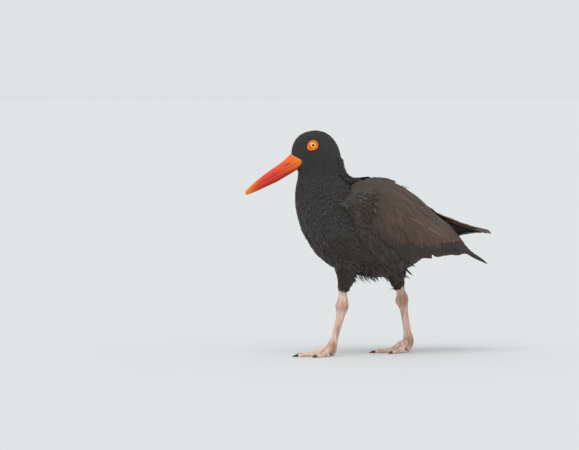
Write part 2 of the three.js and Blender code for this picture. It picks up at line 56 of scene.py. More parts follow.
# %% [markdown]
# The solids were moved so that their origin lies under the middle of the bird. The bird's own sizes
# are easier to read from the neck, so one shift takes those sizes to the frame. It comes from the
# eyes, whose place in the bird's own sizes is known. The head is turned about the neck's upright line.

# %% Places and turns
NECK_X = -62
HEAD_TURN = math.radians(-12)
EYE = {"x": -75.5, "z": 272.7, "radius": 6.2}


def middle_of(node):
    """The middle of a solid's box, in the frame."""
    low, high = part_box(node)
    return (low + high) / 2


def turned(point, amount=1.0):
    """A point of the unturned bird, turned with the head, fully or by a share of it."""
    angle = HEAD_TURN * amount
    x, y = point[0] - NECK_X, point[1]
    c, s = math.cos(angle), math.sin(angle)
    return Vector((NECK_X + x * c - y * s, x * s + y * c, point[2]))


eye_mid = (middle_of("eye_left") + middle_of("eye_right")) / 2
SHIFT = eye_mid - turned((EYE["x"], 0, EYE["z"])) * MM


def at(point):
    """Millimetres of the bird to metres of the frame."""
    return Vector(point) * MM + SHIFT


print("shift in mm:", [round(v / MM, 2) for v in SHIFT])

# %% [markdown]
# A renderer works in linear light, so one function turns the sRGB hex colours. The other adds a
# shader node: names in small letters are its settings, the others are its inputs, given as a value
# or as another node's output. It gives back one output, so that materials read from top to bottom.

# %% Colours and nodes
SRGB = {"knee": 0.04045, "slope": 12.92, "offset": 0.055, "power": 2.4}  # the sRGB curve's own numbers


def linear(hex_colour):
    """An sRGB hex colour as linear red, green, blue and full alpha."""
    channels = [int(hex_colour[i : i + 2], 16) / 255 for i in (1, 3, 5)]
    offset = SRGB["offset"]
    bent = [
        c / SRGB["slope"] if c <= SRGB["knee"] else ((c + offset) / (1 + offset)) ** SRGB["power"]
        for c in channels
    ]
    return (*bent, 1.0)


def add_node(tree, kind, output=0, **values):
    """A shader node with its settings, inputs and colour stops; gives back one of its outputs."""
    node = tree.nodes.new("ShaderNode" + kind)
    for name, value in values.items():
        if name == "stops":
            elements = node.color_ramp.elements
            while len(elements) < len(value):
                elements.new(0.5)
            for element, (place, colour) in zip(elements, value):
                element.position = place
                element.color = linear(colour)
        elif name.islower():
            setattr(node, name, value)
        else:
            socket = node.inputs[int(name[1:]) if name.startswith("_") else name.replace("_", " ")]
            if isinstance(value, bpy.types.NodeSocket):
                tree.links.new(value, socket)
            else:
                socket.default_value = value
    return node.outputs[output]


def new_material(name, **sockets):
    """A material with its node tree; the values that hold all over are set on its shader."""
    material = bpy.data.materials.new(name)
    material.use_nodes = True
    tree = material.node_tree
    shader = tree.nodes["Principled BSDF"]
    for key, value in sockets.items():
        shader.inputs[key.replace("_", " ")].default_value = value
    return material, tree, shader


def paint(tree, shader, colour, height, strength, depth):
    """Links a material's colour, and its bump, whose depth is in millimetres."""
    tree.links.new(colour, shader.inputs["Base Color"])
    bump = add_node(tree, "Bump", Height=height, Strength=strength, Distance=depth * MM)
    tree.links.new(bump, shader.inputs["Normal"])


print("mid grey in linear light:", round(linear("#808080")[0], 3))

# %% [markdown]
# A feather is keratin barbs hooked into a flat vane. Melanin makes these ones slate-black on the
# hood and brown-black below, and the brown back feathers have paler, worn edges. Each vane carries
# numbers: how far along and across a point is, how near the rim, and a tone of its own. The material
# reads them, so barbs, streaks and worn edges follow every feather wherever it lies.

# %% Feather materials
KERATIN = {"Roughness": 0.66, "IOR": 1.54, "Sheen_Roughness": 0.5}
BARB_SPACING = 0.6  # mm; real barbs are finer, and are drawn this coarse so that they show
BARB_SHADE = 0.07
STREAK_SCALE = (1.1, 0.1, 37.0)  # streaks per mm across, per mm along, and a jump for every feather
PATCH_SIZE = 22  # mm, broad patches of darker and paler feathers
TONE_SHARES = {"feather": 0.5, "streak": 0.7, "patch": 0.5, "less": -0.3}
SHAFT = {"line": 0.15, "ends": 0.7, "pale": 0.32}  # mm from the middle of the vane, and its strength
ROOT_SHADE = 0.68  # a vane is this dark at its root, in the shade of the one before
MIX = {"data_type": "RGBA"}
MULTIPLY = {"data_type": "RGBA", "blend_type": "MULTIPLY"}


def feather_material(name, dark, mid, edge, edge_share, sheen):
    """Keratin vane: a soft satin that is never quite black, with barbs slanting off the shaft."""
    material, tree, shader = new_material(name, Sheen_Weight=sheen, **KERATIN)
    across, run, tone, along, rim, pale = (
        add_node(tree, "Attribute", "Fac", attribute_name=key)
        for key in ("across", "run", "tone", "along", "rim", "pale")
    )
    side = add_node(tree, "Math", operation="ABSOLUTE", _0=across)
    slant = add_node(tree, "Math", operation="SUBTRACT", _0=run, _1=side)
    turns = add_node(tree, "Math", operation="MULTIPLY", _0=slant, _1=2 * math.pi / BARB_SPACING)
    barbs = add_node(tree, "Math", operation="SINE", _0=turns)
    spot = add_node(tree, "CombineXYZ", X=across, Y=run, Z=tone)
    drawn_out = add_node(tree, "Mapping", Vector=spot, Scale=STREAK_SCALE)
    streak = add_node(tree, "TexNoise", Vector=drawn_out, Scale=1.0, Detail=2.0)
    where = add_node(tree, "TexCoord", "Object")
    patch = add_node(tree, "TexNoise", Vector=where, Scale=1 / (PATCH_SIZE * MM), Detail=3.0)
    blend = TONE_SHARES["less"]
    for value, key in ((tone, "feather"), (streak, "streak"), (patch, "patch")):
        blend = add_node(tree, "Math", operation="MULTIPLY_ADD", _0=value, _1=TONE_SHARES[key], _2=blend)
    ground = add_node(tree, "ValToRGB", stops=[(0.2, dark), (0.75, mid)], Fac=blend)
    worn = add_node(tree, "MapRange", Value=rim, From_Min=1 - edge_share, From_Max=1.0)
    shaft = add_node(
        tree, "MapRange", Value=side, From_Min=SHAFT["line"], From_Max=SHAFT["ends"], To_Min=SHAFT["pale"],
        To_Max=0.0,
    )
    colour = ground
    for mask in (worn, shaft):
        share = add_node(tree, "Math", operation="MULTIPLY", _0=mask, _1=pale)
        colour = add_node(tree, "Mix", 2, **MIX, _0=share, _6=colour, _7=linear(edge))
    shade = add_node(tree, "MapRange", Value=along, From_Min=0.0, From_Max=0.7, To_Min=ROOT_SHADE)
    barbed = add_node(tree, "Math", operation="MULTIPLY_ADD", _0=barbs, _1=BARB_SHADE, _2=shade)
    colour = add_node(tree, "Mix", 2, **MULTIPLY, _0=1.0, _6=colour, _7=barbed)
    paint(tree, shader, colour, barbs, 0.15, 0.08)
    return material


HOOD_FEATHER = feather_material("slate hood feather keratin", "#1C1A18", "#3C3834", "#48433D", 0.5, 0.09)
BELLY_FEATHER = feather_material(
    "brown-black body feather keratin", "#1E1713", "#3C2E26", "#4A3A30", 0.5, 0.06
)
MANTLE_FEATHER = feather_material(
    "dark brown shoulder feather keratin", "#251C17", "#48382C", "#80603F", 0.4, 0.06
)
BACK_FEATHER = feather_material("brown back feather keratin", "#281C15", "#4D382A", "#94704B", 0.3, 0.04)
FLIGHT_FEATHER = feather_material("dark flight feather keratin", "#1B1411", "#30241D", "#64503F", 0.22, 0.05)
TAIL_FEATHER = feather_material("tail feather keratin", "#1D1714", "#3A2E27", "#7A5A40", 0.2, 0.06)

DOWN_TUFT = 2.5  # mm


def down_material():
    """Down and skin between the feathers: dull and dark, so that no pale gap shows."""
    material, tree, shader = new_material("dark down over skin", Roughness=0.9, IOR=1.5)
    where = add_node(tree, "TexCoord", "Object")
    tufts = add_node(tree, "TexNoise", Vector=where, Scale=1 / (DOWN_TUFT * MM), Detail=4.0)
    colour = add_node(tree, "ValToRGB", stops=[(0.3, "#1B1917"), (0.7, "#302B27")], Fac=tufts)
    paint(tree, shader, colour, tufts, 0.4, 0.5)
    return material


DOWN = down_material()
print("feather materials:", len([m for m in bpy.data.materials if "feather" in m.name]))

# %% [markdown]
# Most pieces are lofts: rings of points joined into a wall. A ring is made by the circle operator,
# bent to its place, and bridged to the one before it. The ends are filled. One function does it for
# the bill, the legs, the toes and the rings of the eyes. Two more finish a piece: one unwraps it,
# and one ties it to the bird's body and hides the solids that it stands in for.

# %% Lofts
CLOSE = 1e-6  # m, points nearer than this are one point
SEAM_ANGLE = math.radians(66)
ISLAND_GAP = 0.004


def new_piece(mesh, material):
    """A mesh as an object at the origin, with its material."""
    piece = bpy.data.objects.new(mesh.name, mesh)
    bpy.context.scene.collection.objects.link(piece)
    mesh.materials.append(material)
    return piece


def finish_mesh(bm, name, material, smooth=True):
    """The bmesh as an object, its faces pointing out."""
    bmesh.ops.remove_doubles(bm, verts=bm.verts, dist=CLOSE)
    bmesh.ops.recalc_face_normals(bm, faces=bm.faces)
    mesh = bpy.data.meshes.new(name)
    bm.to_mesh(mesh)
    bm.free()
    mesh.polygons.foreach_set("use_smooth", np.full(len(mesh.polygons), smooth))
    return new_piece(mesh, material)


def loft_into(bm, rings, closed=False):
    """Bridges rings of points, each a list of places in metres, into a wall with filled ends."""
    edge_loops = []
    for ring in rings:
        made = bmesh.ops.create_circle(bm, segments=len(ring), radius=1.0)["verts"]
        for vert, place in zip(made, ring):
            vert.co = place
        edge_loops.append(list({edge for vert in made for edge in vert.link_edges}))
    pairs = list(zip(edge_loops, edge_loops[1:]))
    if closed:
        pairs.append((edge_loops[-1], edge_loops[0]))
    for first, second in pairs:
        bmesh.ops.bridge_loops(bm, edges=first + second)
    if not closed:
        for edges in (edge_loops[0], edge_loops[-1]):
            bmesh.ops.contextual_create(bm, geom=edges)


def unwrap(piece):
    """A UV map named OFBake over the piece's own shape."""
    bpy.ops.object.select_all(action="DESELECT")
    bpy.context.view_layer.objects.active = piece
    piece.select_set(True)
    if not piece.data.uv_layers:
        piece.data.uv_layers.new(name="OFBake")
    bpy.ops.object.mode_set(mode="EDIT")
    bpy.ops.mesh.select_all(action="SELECT")
    bpy.ops.uv.smart_project(angle_limit=SEAM_ANGLE, island_margin=ISLAND_GAP)
    bpy.ops.object.mode_set(mode="OBJECT")


def settle(piece, slot, *nodes):
    """Ties a piece to the bird's one body and hides the solids it stands in for; slot is not used."""
    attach(piece, "root")
    if nodes:
        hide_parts(*nodes)


def curve_at(rows, share):
    """A smooth curve through rows of numbers, with share 0 at the first and 1 at the last."""
    rows = np.asarray(rows, float)
    spans = len(rows) - 1
    t = share * spans
    i = min(max(int(math.floor(t)), 0), spans - 1)
    t -= i
    before = rows[i - 1] if i > 0 else 2 * rows[0] - rows[1]
    after = rows[i + 2] if i + 2 <= spans else 2 * rows[-1] - rows[-2]
    a, b = rows[i], rows[i + 1]
    m0, m1 = (b - before) / 2, (after - a) / 2
    t2, t3 = t * t, t * t * t
    return (2 * t3 - 3 * t2 + 1) * a + (t3 - 2 * t2 + t) * m0 + (3 * t2 - 2 * t3) * b + (t3 - t2) * m1


print("half way along a curve of three rows:", curve_at([(0,), (1,), (4,)], 0.5))

# %% [markdown]
# The feathers of the face reach forward over the bill's root in a soft cuff: furthest on top, and
# least at the corner of the gape. The bill's own table of heights and widths gives its shape. It is
# used again for the horn itself, so that cuff and horn fit.

# %% The bill's table and its cuff
# The bill from gape to tip: x, culmen, mouth line, under edge, half width, in the unturned head
BILL = [
    (-83.5, 256.2, 254.4, 252.4, 15.2),
    (-88, 259.2, 252.6, 247.2, 14.4),
    (-93, 262, 250.2, 241.6, 12.6),
    (-101, 261.2, 246.3, 236.3, 8.3),
    (-110, 253.4, 241.3, 231.1, 6.1),
    (-120, 246, 235, 225.3, 4.9),
    (-134.7, 236, 226.9, 218.7, 3.9),
    (-148, 225.6, 218.3, 212.7, 2.9),
    (-158.5, 216.2, 212.2, 209, 1.9),
    (-161, 213.2, 211.2, 209.5, 1.3),
]
# Rings of the cuff: share along the bill and millimetres beyond its horn
CUFF = [(0.04, 0.4), (0.1, 0.9), (0.16, 1.1), (0.2, 1.0), (0.235, 0.5), (0.26, -0.6)]
CUFF_SIDES = 24
CUFF_TOP = 0.1  # share along the bill by which the cuff reaches further on the culmen
CUFF_GAPE = 0.075  # and less far at the corner of the gape
GAPE_POINT = 12  # how pointed that corner is


def cuff_ring(share, more):
    ring = []
    for k in range(CUFF_SIDES):
        angle = 2 * math.pi * k / CUFF_SIDES
        lean = CUFF_TOP * max(0.0, math.sin(angle)) - CUFF_GAPE * math.cos(angle) ** GAPE_POINT
        x, culmen, _, under, half = curve_at(BILL, max(0.0, share + lean))
        middle, reach = (culmen + under) / 2, (culmen - under) / 2
        y = (half + more) * math.cos(angle)
        ring.append(at(turned((x, y, middle + (reach + more) * math.sin(angle)))))
    return ring


cuff = [cuff_ring(share, more) for share, more in CUFF]
print("cuff rings:", len(cuff))

# %% [markdown]
# The skin is one closed surface over head, neck, body and thighs. Copies of those solids are joined
# with fillings for the eyes' sockets and with the cuff. A remesh turns them into one net of even
# cells, a smoothing softens the joins, and loose scraps inside are dropped.

# %% Joining the flesh
FLESH = ["head", "neck", "torso", "thigh_left", "thigh_right"]
EYE_FILL = 5.3  # mm, a ball that fills each eye's socket
SKIN_CELL = 1.7  # mm


def joined_copy(name, nodes):
    bm = bmesh.new()
    for node in nodes:
        bm.from_mesh(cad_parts[node].data)
    for side in SIDES:
        fill = bmesh.ops.create_icosphere(bm, subdivisions=3, radius=EYE_FILL * MM)["verts"]
        bmesh.ops.translate(bm, verts=fill, vec=middle_of(f"eye_{side}"))
    loft_into(bm, cuff)
    bmesh.ops.remove_doubles(bm, verts=bm.verts, dist=CLOSE)
    mesh = bpy.data.meshes.new(name)
    bm.to_mesh(mesh)
    bm.free()
    return new_piece(mesh, DOWN)


def keep_largest(mesh):
    """Removes whatever isn't joined to the largest part."""
    bm = bmesh.new()
    bm.from_mesh(mesh)
    left = set(bm.verts)
    groups = []
    while left:
        stack = [left.pop()]
        group = set(stack)
        while stack:
            for edge in stack.pop().link_edges:
                fresh = left.intersection(edge.verts)
                left -= fresh
                group |= fresh
                stack.extend(fresh)
        groups.append(group)
    groups.sort(key=len, reverse=True)
    bmesh.ops.delete(bm, geom=[v for group in groups[1:] for v in group], context="VERTS")
    bm.to_mesh(mesh)
    bm.free()


def one_net(piece, cell, rounds, material):
    """Remeshes a piece of several closed parts into one smooth skin."""
    net = piece.modifiers.new("net", "REMESH")
    net.mode = "VOXEL"
    net.voxel_size = cell * MM
    soft = piece.modifiers.new("soft", "SMOOTH")
    soft.factor = 0.5
    soft.iterations = rounds
    graph = bpy.context.evaluated_depsgraph_get()
    mesh = bpy.data.meshes.new_from_object(piece.evaluated_get(graph))
    piece.modifiers.clear()
    rough = piece.data
    piece.data = mesh
    bpy.data.meshes.remove(rough)
    keep_largest(mesh)
    mesh.materials.clear()
    mesh.materials.append(material)
    mesh.polygons.foreach_set("use_smooth", np.full(len(mesh.polygons), True))


skin = joined_copy("body_skin", FLESH)
one_net(skin, SKIN_CELL, 10, DOWN)
print("skin faces:", len(skin.data.polygons))

# %% [markdown]
# The solids show the bird with its coat on. So the skin is shrunk by the depth of the coat, which is
# thin on the head, thicker on the body and middling on the legs. An unwrap of this skin then gives
# every feather its own spot for colour.

# %% The skin under the coat
COAT = {"head": 0.7, "body": 2.6, "leg": 1.4}  # mm
HEAD_ZONE = {"low": 195, "rise": 40, "front": 20, "reach": 20}  # mm, where the coat thins
LEG_ZONE = {"high": 104, "reach": 12}


def clamp(value, low=0.0, high=1.0):
    return min(high, max(low, value))


def coat_depth(point):
    """Depth of the coat in metres at a point of the frame."""
    height = (point.z - SHIFT.z) / MM
    forward = -(point.x - SHIFT.x) / MM
    head = clamp((height - HEAD_ZONE["low"]) / HEAD_ZONE["rise"])
    head *= clamp((forward - HEAD_ZONE["front"]) / HEAD_ZONE["reach"])
    leg = clamp((LEG_ZONE["high"] - height) / LEG_ZONE["reach"])
    depth = COAT["body"] + (COAT["head"] - COAT["body"]) * head
    return (depth * (1 - leg) + COAT["leg"] * leg) * MM


straight = [v.normal.copy() for v in skin.data.vertices]
for vert, normal in zip(skin.data.vertices, straight):
    vert.co -= normal * coat_depth(vert.co)
skin.data.update()
unwrap(skin)
settle(skin, "body", *FLESH)
skin_tree = BVHTree.FromPolygons(
    [tuple(v.co) for v in skin.data.vertices], [tuple(p.vertices) for p in skin.data.polygons]
)
print("height of the skin in mm:", round(max(v.co.z for v in skin.data.vertices) / MM, 1))

# %% [markdown]
# Feathers grow from head to tail. The body's middle line, from the bill's root to the tail's root,
# gives that direction everywhere: a feather lies along it, flattened onto the skin. On the legs
# the feathers point down.

# %% The lie of the coat
# Middle points of the body in millimetres, and how far each one turns with the head
LINE = [
    ((-98, 0, 252), 1),
    ((-92, 0, 258), 1),
    ((-82, 0, 259), 1),
    ((-74, 0, 253), 1),
    ((-70, 0, 245), 1),
    ((-67, 0, 234), 0.95),
    ((-65, 0, 222), 0.7),
    ((-60, 0, 208), 0.4),
    ((-48, 0, 195), 0.1),
    ((-30, 0, 181), 0),
    ((-6, 0, 167), 0),
    ((20, 0, 158), 0),
    ((55, 0, 151), 0),
    ((90, 0, 153), 0),
    ((118, 0, 162), 0),
    ((135, 0, 166), 0),
]
LEG_LIE = {"high": 108, "reach": 14, "way": (0.05, 0, -1.0)}
line_points = np.array([at(turned(p, amount)) for p, amount in LINE])
line_heads = np.gradient(line_points, axis=0)
line_heads /= np.linalg.norm(line_heads, axis=1)[:, None]


def unit(arrows):
    """Arrows made one metre long, row by row."""
    return arrows / np.maximum(np.linalg.norm(arrows, axis=1), 1e-9)[:, None]


def flattened(arrows, normals):
    """Arrows laid flat onto the surface with these normals."""
    return unit(arrows - (arrows * normals).sum(1)[:, None] * normals)


def lie_at(points, normals):
    """The way a feather points, at each of many places, flattened onto the skin."""
    gaps = np.linalg.norm(points[:, None, :] - line_points[None], axis=2)
    weights = 1 / (gaps**4 + 1e-12)
    weights /= weights.sum(1)[:, None]
    leg = np.clip((at((0, 0, LEG_LIE["high"])).z - points[:, 2]) / (LEG_LIE["reach"] * MM), 0, 1)[:, None]
    flow = weights @ line_heads * (1 - leg) + np.array(LEG_LIE["way"]) * leg
    return flattened(flow, normals)


print("middle line's length in mm:", round(np.linalg.norm(np.diff(line_points, axis=0), axis=1).sum() / MM))

# %% [markdown]
# The roots are spread at even distances. Random spots are drawn on the skin, thickest where the
# feathers are small, and a spot is kept only if it is far enough from all those kept before. A grid
# of cells keeps the search short. The draw is seeded, so that every run gives the same bird.

# %% Spreading the roots
def mesh_numbers(items, key, width, kind=float):
    """One number or row of numbers for each item of a mesh, as an array."""
    values = np.empty(len(items) * width, kind)
    items.foreach_get(key, values)
    return values.reshape(-1, width)


class Surface:
    """A mesh's triangles with their areas, normals and spots on its unwrap."""

    def __init__(self, mesh):
        mesh.calc_loop_triangles()
        index = mesh_numbers(mesh.loop_triangles, "vertices", 3, int)
        loops = mesh_numbers(mesh.loop_triangles, "loops", 3, int)
        self.corners = mesh_numbers(mesh.vertices, "co", 3)[index]
        self.normals = mesh_numbers(mesh.vertices, "normal", 3)[index]
        self.uv = mesh_numbers(mesh.uv_layers["OFBake"].data, "uv", 2)[loops]
        edge_a = self.corners[:, 1] - self.corners[:, 0]
        edge_b = self.corners[:, 2] - self.corners[:, 0]
        self.area = np.linalg.norm(np.cross(edge_a, edge_b), axis=1) / 2

    def scatter(self, count, rng, gap_at):
        """Random spots, thickest where the gaps are small: places, normals and unwrap spots."""
        share = self.area / gap_at(self.corners.mean(1)) ** 2
        pick = rng.choice(len(self.area), count, p=share / share.sum())
        a, b = rng.random((2, count))
        flip = a + b > 1
        a[flip], b[flip] = 1 - a[flip], 1 - b[flip]
        weights = np.stack([1 - a - b, a, b], 1)[:, :, None]
        normals = unit((self.normals[pick] * weights).sum(1))
        return (self.corners[pick] * weights).sum(1), normals, (self.uv[pick] * weights).sum(1)


def spread(points, gaps):
    """Keeps, in order, each point that is at least its own gap from all those kept before."""
    cells = np.floor(points / float(gaps.max())).astype(int)
    grid = {}
    kept = []
    around = (-1, 0, 1)
    for i, (point, gap, (cx, cy, cz)) in enumerate(zip(points, gaps, cells)):
        near = [
            j for dx in around for dy in around for dz in around
            for j in grid.get((cx + dx, cy + dy, cz + dz), ())
        ]
        if near:
            away = points[near] - point
            if (away * away).sum(1).min() < gap * gap:
                continue
        grid.setdefault((cx, cy, cz), []).append(i)
        kept.append(i)
    return np.array(kept)


skin_surface = Surface(skin.data)
print("skin area in square cm:", round(skin_surface.area.sum() * 1e4))

# %% [markdown]
# One small feather is shaped once. A circle is bent to a feather's outline with a ragged tip, where
# the barbs part. Its face is doubled: the upper one is poked up into a shallow crown and the lower
# one stays flat, so it is thin, closed and has only about two dozen faces.

# %% A small feather's form
# Outlines as places along and across, from the root round the tip and back
BROAD_OUTLINE = [
    (0.0, 0.0), (0.28, 0.7), (0.58, 1.0), (0.86, 0.95), (0.76, 0.62), (0.99, 0.5), (0.84, 0.2),
    (1.05, 0.03), (0.85, -0.24), (0.96, -0.55), (0.74, -0.66), (0.84, -0.98), (0.58, -1.0), (0.28, -0.7),
]
FINE_OUTLINE = [
    (0.0, 0.0), (0.3, 0.8), (0.86, 0.85), (0.66, 0.36), (1.05, 0.05), (0.68, -0.36), (0.9, -0.9),
    (0.3, -0.75),
]
RUFF_OUTLINE = [
    (0.0, 0.0), (0.3, 0.9), (0.7, 0.75), (0.95, 0.7), (0.76, 0.28), (1.12, 0.1), (0.78, -0.2),
    (1.0, -0.6), (0.66, -0.8), (0.3, -0.85),
]
RIM_SLOPE, RIM_LEAST = 1.6, 0.2  # how the worn rim grows towards the tip


def feather_form(outline, peak, crown):
    """One feather of length 1 and half width 1: its points, triangles, which are upper, and its rim."""
    bm = bmesh.new()
    made = bmesh.ops.create_circle(bm, cap_ends=True, segments=len(outline), radius=1.0)["verts"]
    for vert, (along, across) in zip(made, outline):
        vert.co = (along, across, 0)
    upper = list(bm.faces)
    lower = [g for g in bmesh.ops.duplicate(bm, geom=upper)["geom"] if isinstance(g, bmesh.types.BMFace)]
    top = bmesh.ops.poke(bm, faces=upper)["verts"][0]
    top.co = (peak, 0, crown)
    highest = tuple(top.co)
    bmesh.ops.triangulate(bm, faces=lower)
    bmesh.ops.remove_doubles(bm, verts=bm.verts, dist=1e-5)
    bmesh.ops.recalc_face_normals(bm, faces=bm.faces)
    bm.verts.index_update()
    points = np.array([v.co for v in bm.verts])
    faces = np.array([[v.index for v in f.verts] for f in bm.faces])
    bm.free()
    peak_at = int(np.argmin(np.abs(points - np.array(highest)).sum(1)))
    rim = np.clip(points[:, 0] * RIM_SLOPE, RIM_LEAST, 1.0)
    rim[peak_at] = 0.0
    return points, faces, (faces == peak_at).any(1), rim


BROAD_FORM = feather_form(BROAD_OUTLINE, 0.6, 0.1)
FINE_FORM = feather_form(FINE_OUTLINE, 0.55, 0.11)
RUFF_FORM = feather_form(RUFF_OUTLINE, 0.55, 0.15)
print(
    "triangles of a broad, a fine and a ruff feather:",
    [len(form[1]) for form in (BROAD_FORM, FINE_FORM, RUFF_FORM)],
)

# %% [markdown]
# Thousands of feathers are one mesh. Each copy of the form is stretched, bent away from or towards
# the skin, turned along the lie, and set at its root. All of them are worked out together as arrays.
# The numbers for the material and a small patch of the unwrap are written with them.

# %% Writing a coat
PATCH = 0.0015  # half the size of a feather's spot on the unwrap


def write_mesh(name, places, faces, smooth, numbers, spots, material):
    """A mesh from arrays, with a number at every point for each name, and its OFBake map."""
    corners = faces.shape[1]
    index = faces.reshape(-1)
    mesh = bpy.data.meshes.new(name)
    mesh.vertices.add(len(places))
    mesh.vertices.foreach_set("co", places.reshape(-1))
    mesh.loops.add(len(index))
    mesh.loops.foreach_set("vertex_index", index)
    mesh.polygons.add(len(faces))
    mesh.polygons.foreach_set("loop_start", np.arange(len(faces)) * corners)
    mesh.polygons.foreach_set("loop_total", np.full(len(faces), corners))
    mesh.polygons.foreach_set("use_smooth", smooth)
    mesh.update(calc_edges=True)
    for key, values in numbers.items():
        mesh.attributes.new(key, "FLOAT", "POINT").data.foreach_set("value", values.astype(np.float32))
    mesh.uv_layers.new(name="OFBake").data.foreach_set("uv", spots[index].reshape(-1))
    return new_piece(mesh, material)


def write_feathers(name, form, spot, shape, looks, material):
    """Many copies of one form as one mesh."""
    points, faces, is_top, rim = form
    roots, lies, normals, uvs = spot
    lengths, halves, rise, curl, rolls, lift = (np.asarray(values)[:, None] for values in shape)
    tones, pales = looks
    count, size = len(roots), len(points)
    sides = np.cross(normals, lies)
    c, s = np.cos(rolls), np.sin(rolls)
    lies, sides = lies * c + sides * s, sides * c - lies * s
    along = points[:, 0] * lengths
    across = points[:, 1] * halves
    up = points[:, 2] * halves + rise * points[:, 0] - curl * points[:, 0] ** 2 + lift
    places = roots[:, None, :]
    for reach, way in ((along, lies), (across, sides), (up, normals)):
        places = places + reach[..., None] * way[:, None, :]
    index = (faces[None] + (np.arange(count) * size)[:, None, None]).reshape(-1, 3)
    numbers = {
        "along": np.tile(points[:, 0], count),
        "across": (across / MM).reshape(-1),
        "run": (along / MM).reshape(-1),
        "rim": np.tile(rim, count),
        "tone": np.repeat(tones, size),
        "pale": np.repeat(pales, size),
    }
    local = (points[:, :2] * np.array([2.0, 1.0]) - np.array([1.0, 0.0])) * PATCH
    spots = (uvs[:, None, :] + local[None]).reshape(-1, 2)
    piece = write_mesh(name, places.reshape(-1, 3), index, np.tile(is_top, count), numbers, spots, material)
    print(name, "feathers:", count, "triangles:", len(index))
    return piece


# %% [markdown]
# The folded wing is a curved sheet, thin at its tip. Three lines, the upper edge, the middle and the
# lower edge, are carried by smooth curves, and a point of the wing is found from its share along and
# across. It is kept off the skin, and sinks into the coat at its front and lower front, where the
# breast feathers lie over it.

# %% The wing's lines
WING = {
    "upper": [
        (-47, 40, 203), (-22, 31, 219), (15, 25, 221), (50, 21, 210), (84, 18, 187), (108, 20, 168),
        (132, 23, 141), (157, 26, 119.8),
    ],
    "middle": [
        (-47, 42, 199), (-28, 48, 197), (2, 54, 186), (33, 56, 172), (64, 51, 160), (94, 41, 149),
        (124, 32, 136), (158, 27, 118.8),
    ],
    "lower": [
        (-46, 42, 195), (-32, 46, 172), (-8, 48, 145), (20, 46, 127), (52, 43, 125), (88, 38, 128),
        (121, 33, 130), (158, 27, 117.8),
    ],
}
DROOP = {"left": 0, "right": 14}  # mm by which the wing's tip is held higher
WING_LIFT = 3.2  # mm, the least height of the wing off the skin
SUNK = 0.9  # mm off the skin where the wing lies under the coat
CLEAR_OF_BODY = 0.66  # share along the wing from where it no longer lies on the body


def ease(values, low, high):
    """0 below low, 1 above high, smooth between; for one value or an array."""
    t = np.clip((values - low) / (high - low), 0, 1)
    return t * t * (3 - 2 * t)


def swell(share, across):
    """How far the wing stands out of the coat: 0 at its front and lower front, 1 over the rest."""
    low = ease(1.02 - across, 0.0, 0.16)
    low = low + (1 - low) * ease(share, 0.36, 0.5)
    return ease(share, 0.0, 0.17) * low


def wing_point(side, share, across):
    """A point of the folded wing, from the wrist to the tip and from the upper to the lower edge."""
    upper, middle, lower = (curve_at(WING[edge], share) for edge in ("upper", "middle", "lower"))
    mixed = (2 * across - 1) * (across - 1) * upper
    mixed = mixed + 4 * across * (1 - across) * middle + across * (2 * across - 1) * lower
    point = at((mixed[0], SIDES[side] * mixed[1], mixed[2] + DROOP[side] * ease(share, 0.3, 1)))
    if share > CLEAR_OF_BODY:
        return point
    hit, straight, _, _ = skin_tree.find_nearest(point)
    above = (point - hit).dot(straight)
    out = swell(share, across)
    return point + straight * (max(above, WING_LIFT * MM) * out + SUNK * MM * (1 - out) - above)


print("left wrist:", [round(v, 3) for v in wing_point("left", 0.0, 0.5)])

# %% [markdown]
# Laying hundreds of feathers needs thousands of points of that sheet. So it is worked out once on a
# grid and smoothed, and any other point is mixed from the four nearest ones.

# %% A grid on each wing
ALONG = np.linspace(-0.03, 1.04, 71)
ACROSS = np.linspace(-0.14, 1.12, 31)
SOFT_ROUNDS = 4


def wing_sheet(side):
    """The wing's points on a grid, smoothed."""
    grid = np.array([[wing_point(side, u, v) for v in ACROSS] for u in ALONG])
    for _ in range(SOFT_ROUNDS):
        inner = (grid[:-2, 1:-1] + grid[2:, 1:-1] + grid[1:-1, :-2] + grid[1:-1, 2:]) / 4
        grid[1:-1, 1:-1] = (grid[1:-1, 1:-1] + inner) / 2
    return grid


def cell_of(values, marks):
    """The grid's cell that each value falls in, and how far into it."""
    place = (values - marks[0]) / (marks[-1] - marks[0]) * (len(marks) - 1)
    place = np.clip(place, 0, len(marks) - 1.001)
    cell = place.astype(int)
    return cell, (place - cell)[..., None]


def on_sheet(grid, u, v):
    """The grid's point at a share along and across, by mixing its four neighbours."""
    i, a = cell_of(u, ALONG)
    j, b = cell_of(v, ACROSS)
    near = grid[i, j] * (1 - a) * (1 - b) + grid[i + 1, j] * a * (1 - b)
    return near + grid[i, j + 1] * (1 - a) * b + grid[i + 1, j + 1] * a * b


def sheet_out(grid, u, v, hand):
    """The way out of the wing's sheet."""
    ahead = on_sheet(grid, u + 0.02, v) - on_sheet(grid, u - 0.02, v)
    down = on_sheet(grid, u, v + 0.06) - on_sheet(grid, u, v - 0.06)
    out = np.cross(ahead, down)
    return unit(out * np.sign(out[:, 1] * hand)[:, None])


SHEETS = {side: wing_sheet(side) for side in SIDES}
print("points on each wing's grid:", SHEETS["left"].shape[:2])

# %% [markdown]
# The distance between roots sets how fine the coat is: least round the bill, small on the head and
# neck, and largest on the body, where a feather reaches twelve millimetres. The regions blend into
# each other, as they do on the bird.

# %% How close the feathers stand
GAPS = {"face": 0.6, "head": 0.66, "neck": 1.2, "body": 2.1, "leg": 1.5}  # mm between roots
# Heights, and for the neck also distances forward, between which one spacing turns into the next
NECK_ZONE = {"up": (172, 215), "front": (5, 36)}
HEAD_UP = (214, 244)
LEG_UP = (96, 112)
FACE = {"centre": (-92, 0, 252), "reach": 24}
SPOTS = 230000
rng = np.random.default_rng(20)


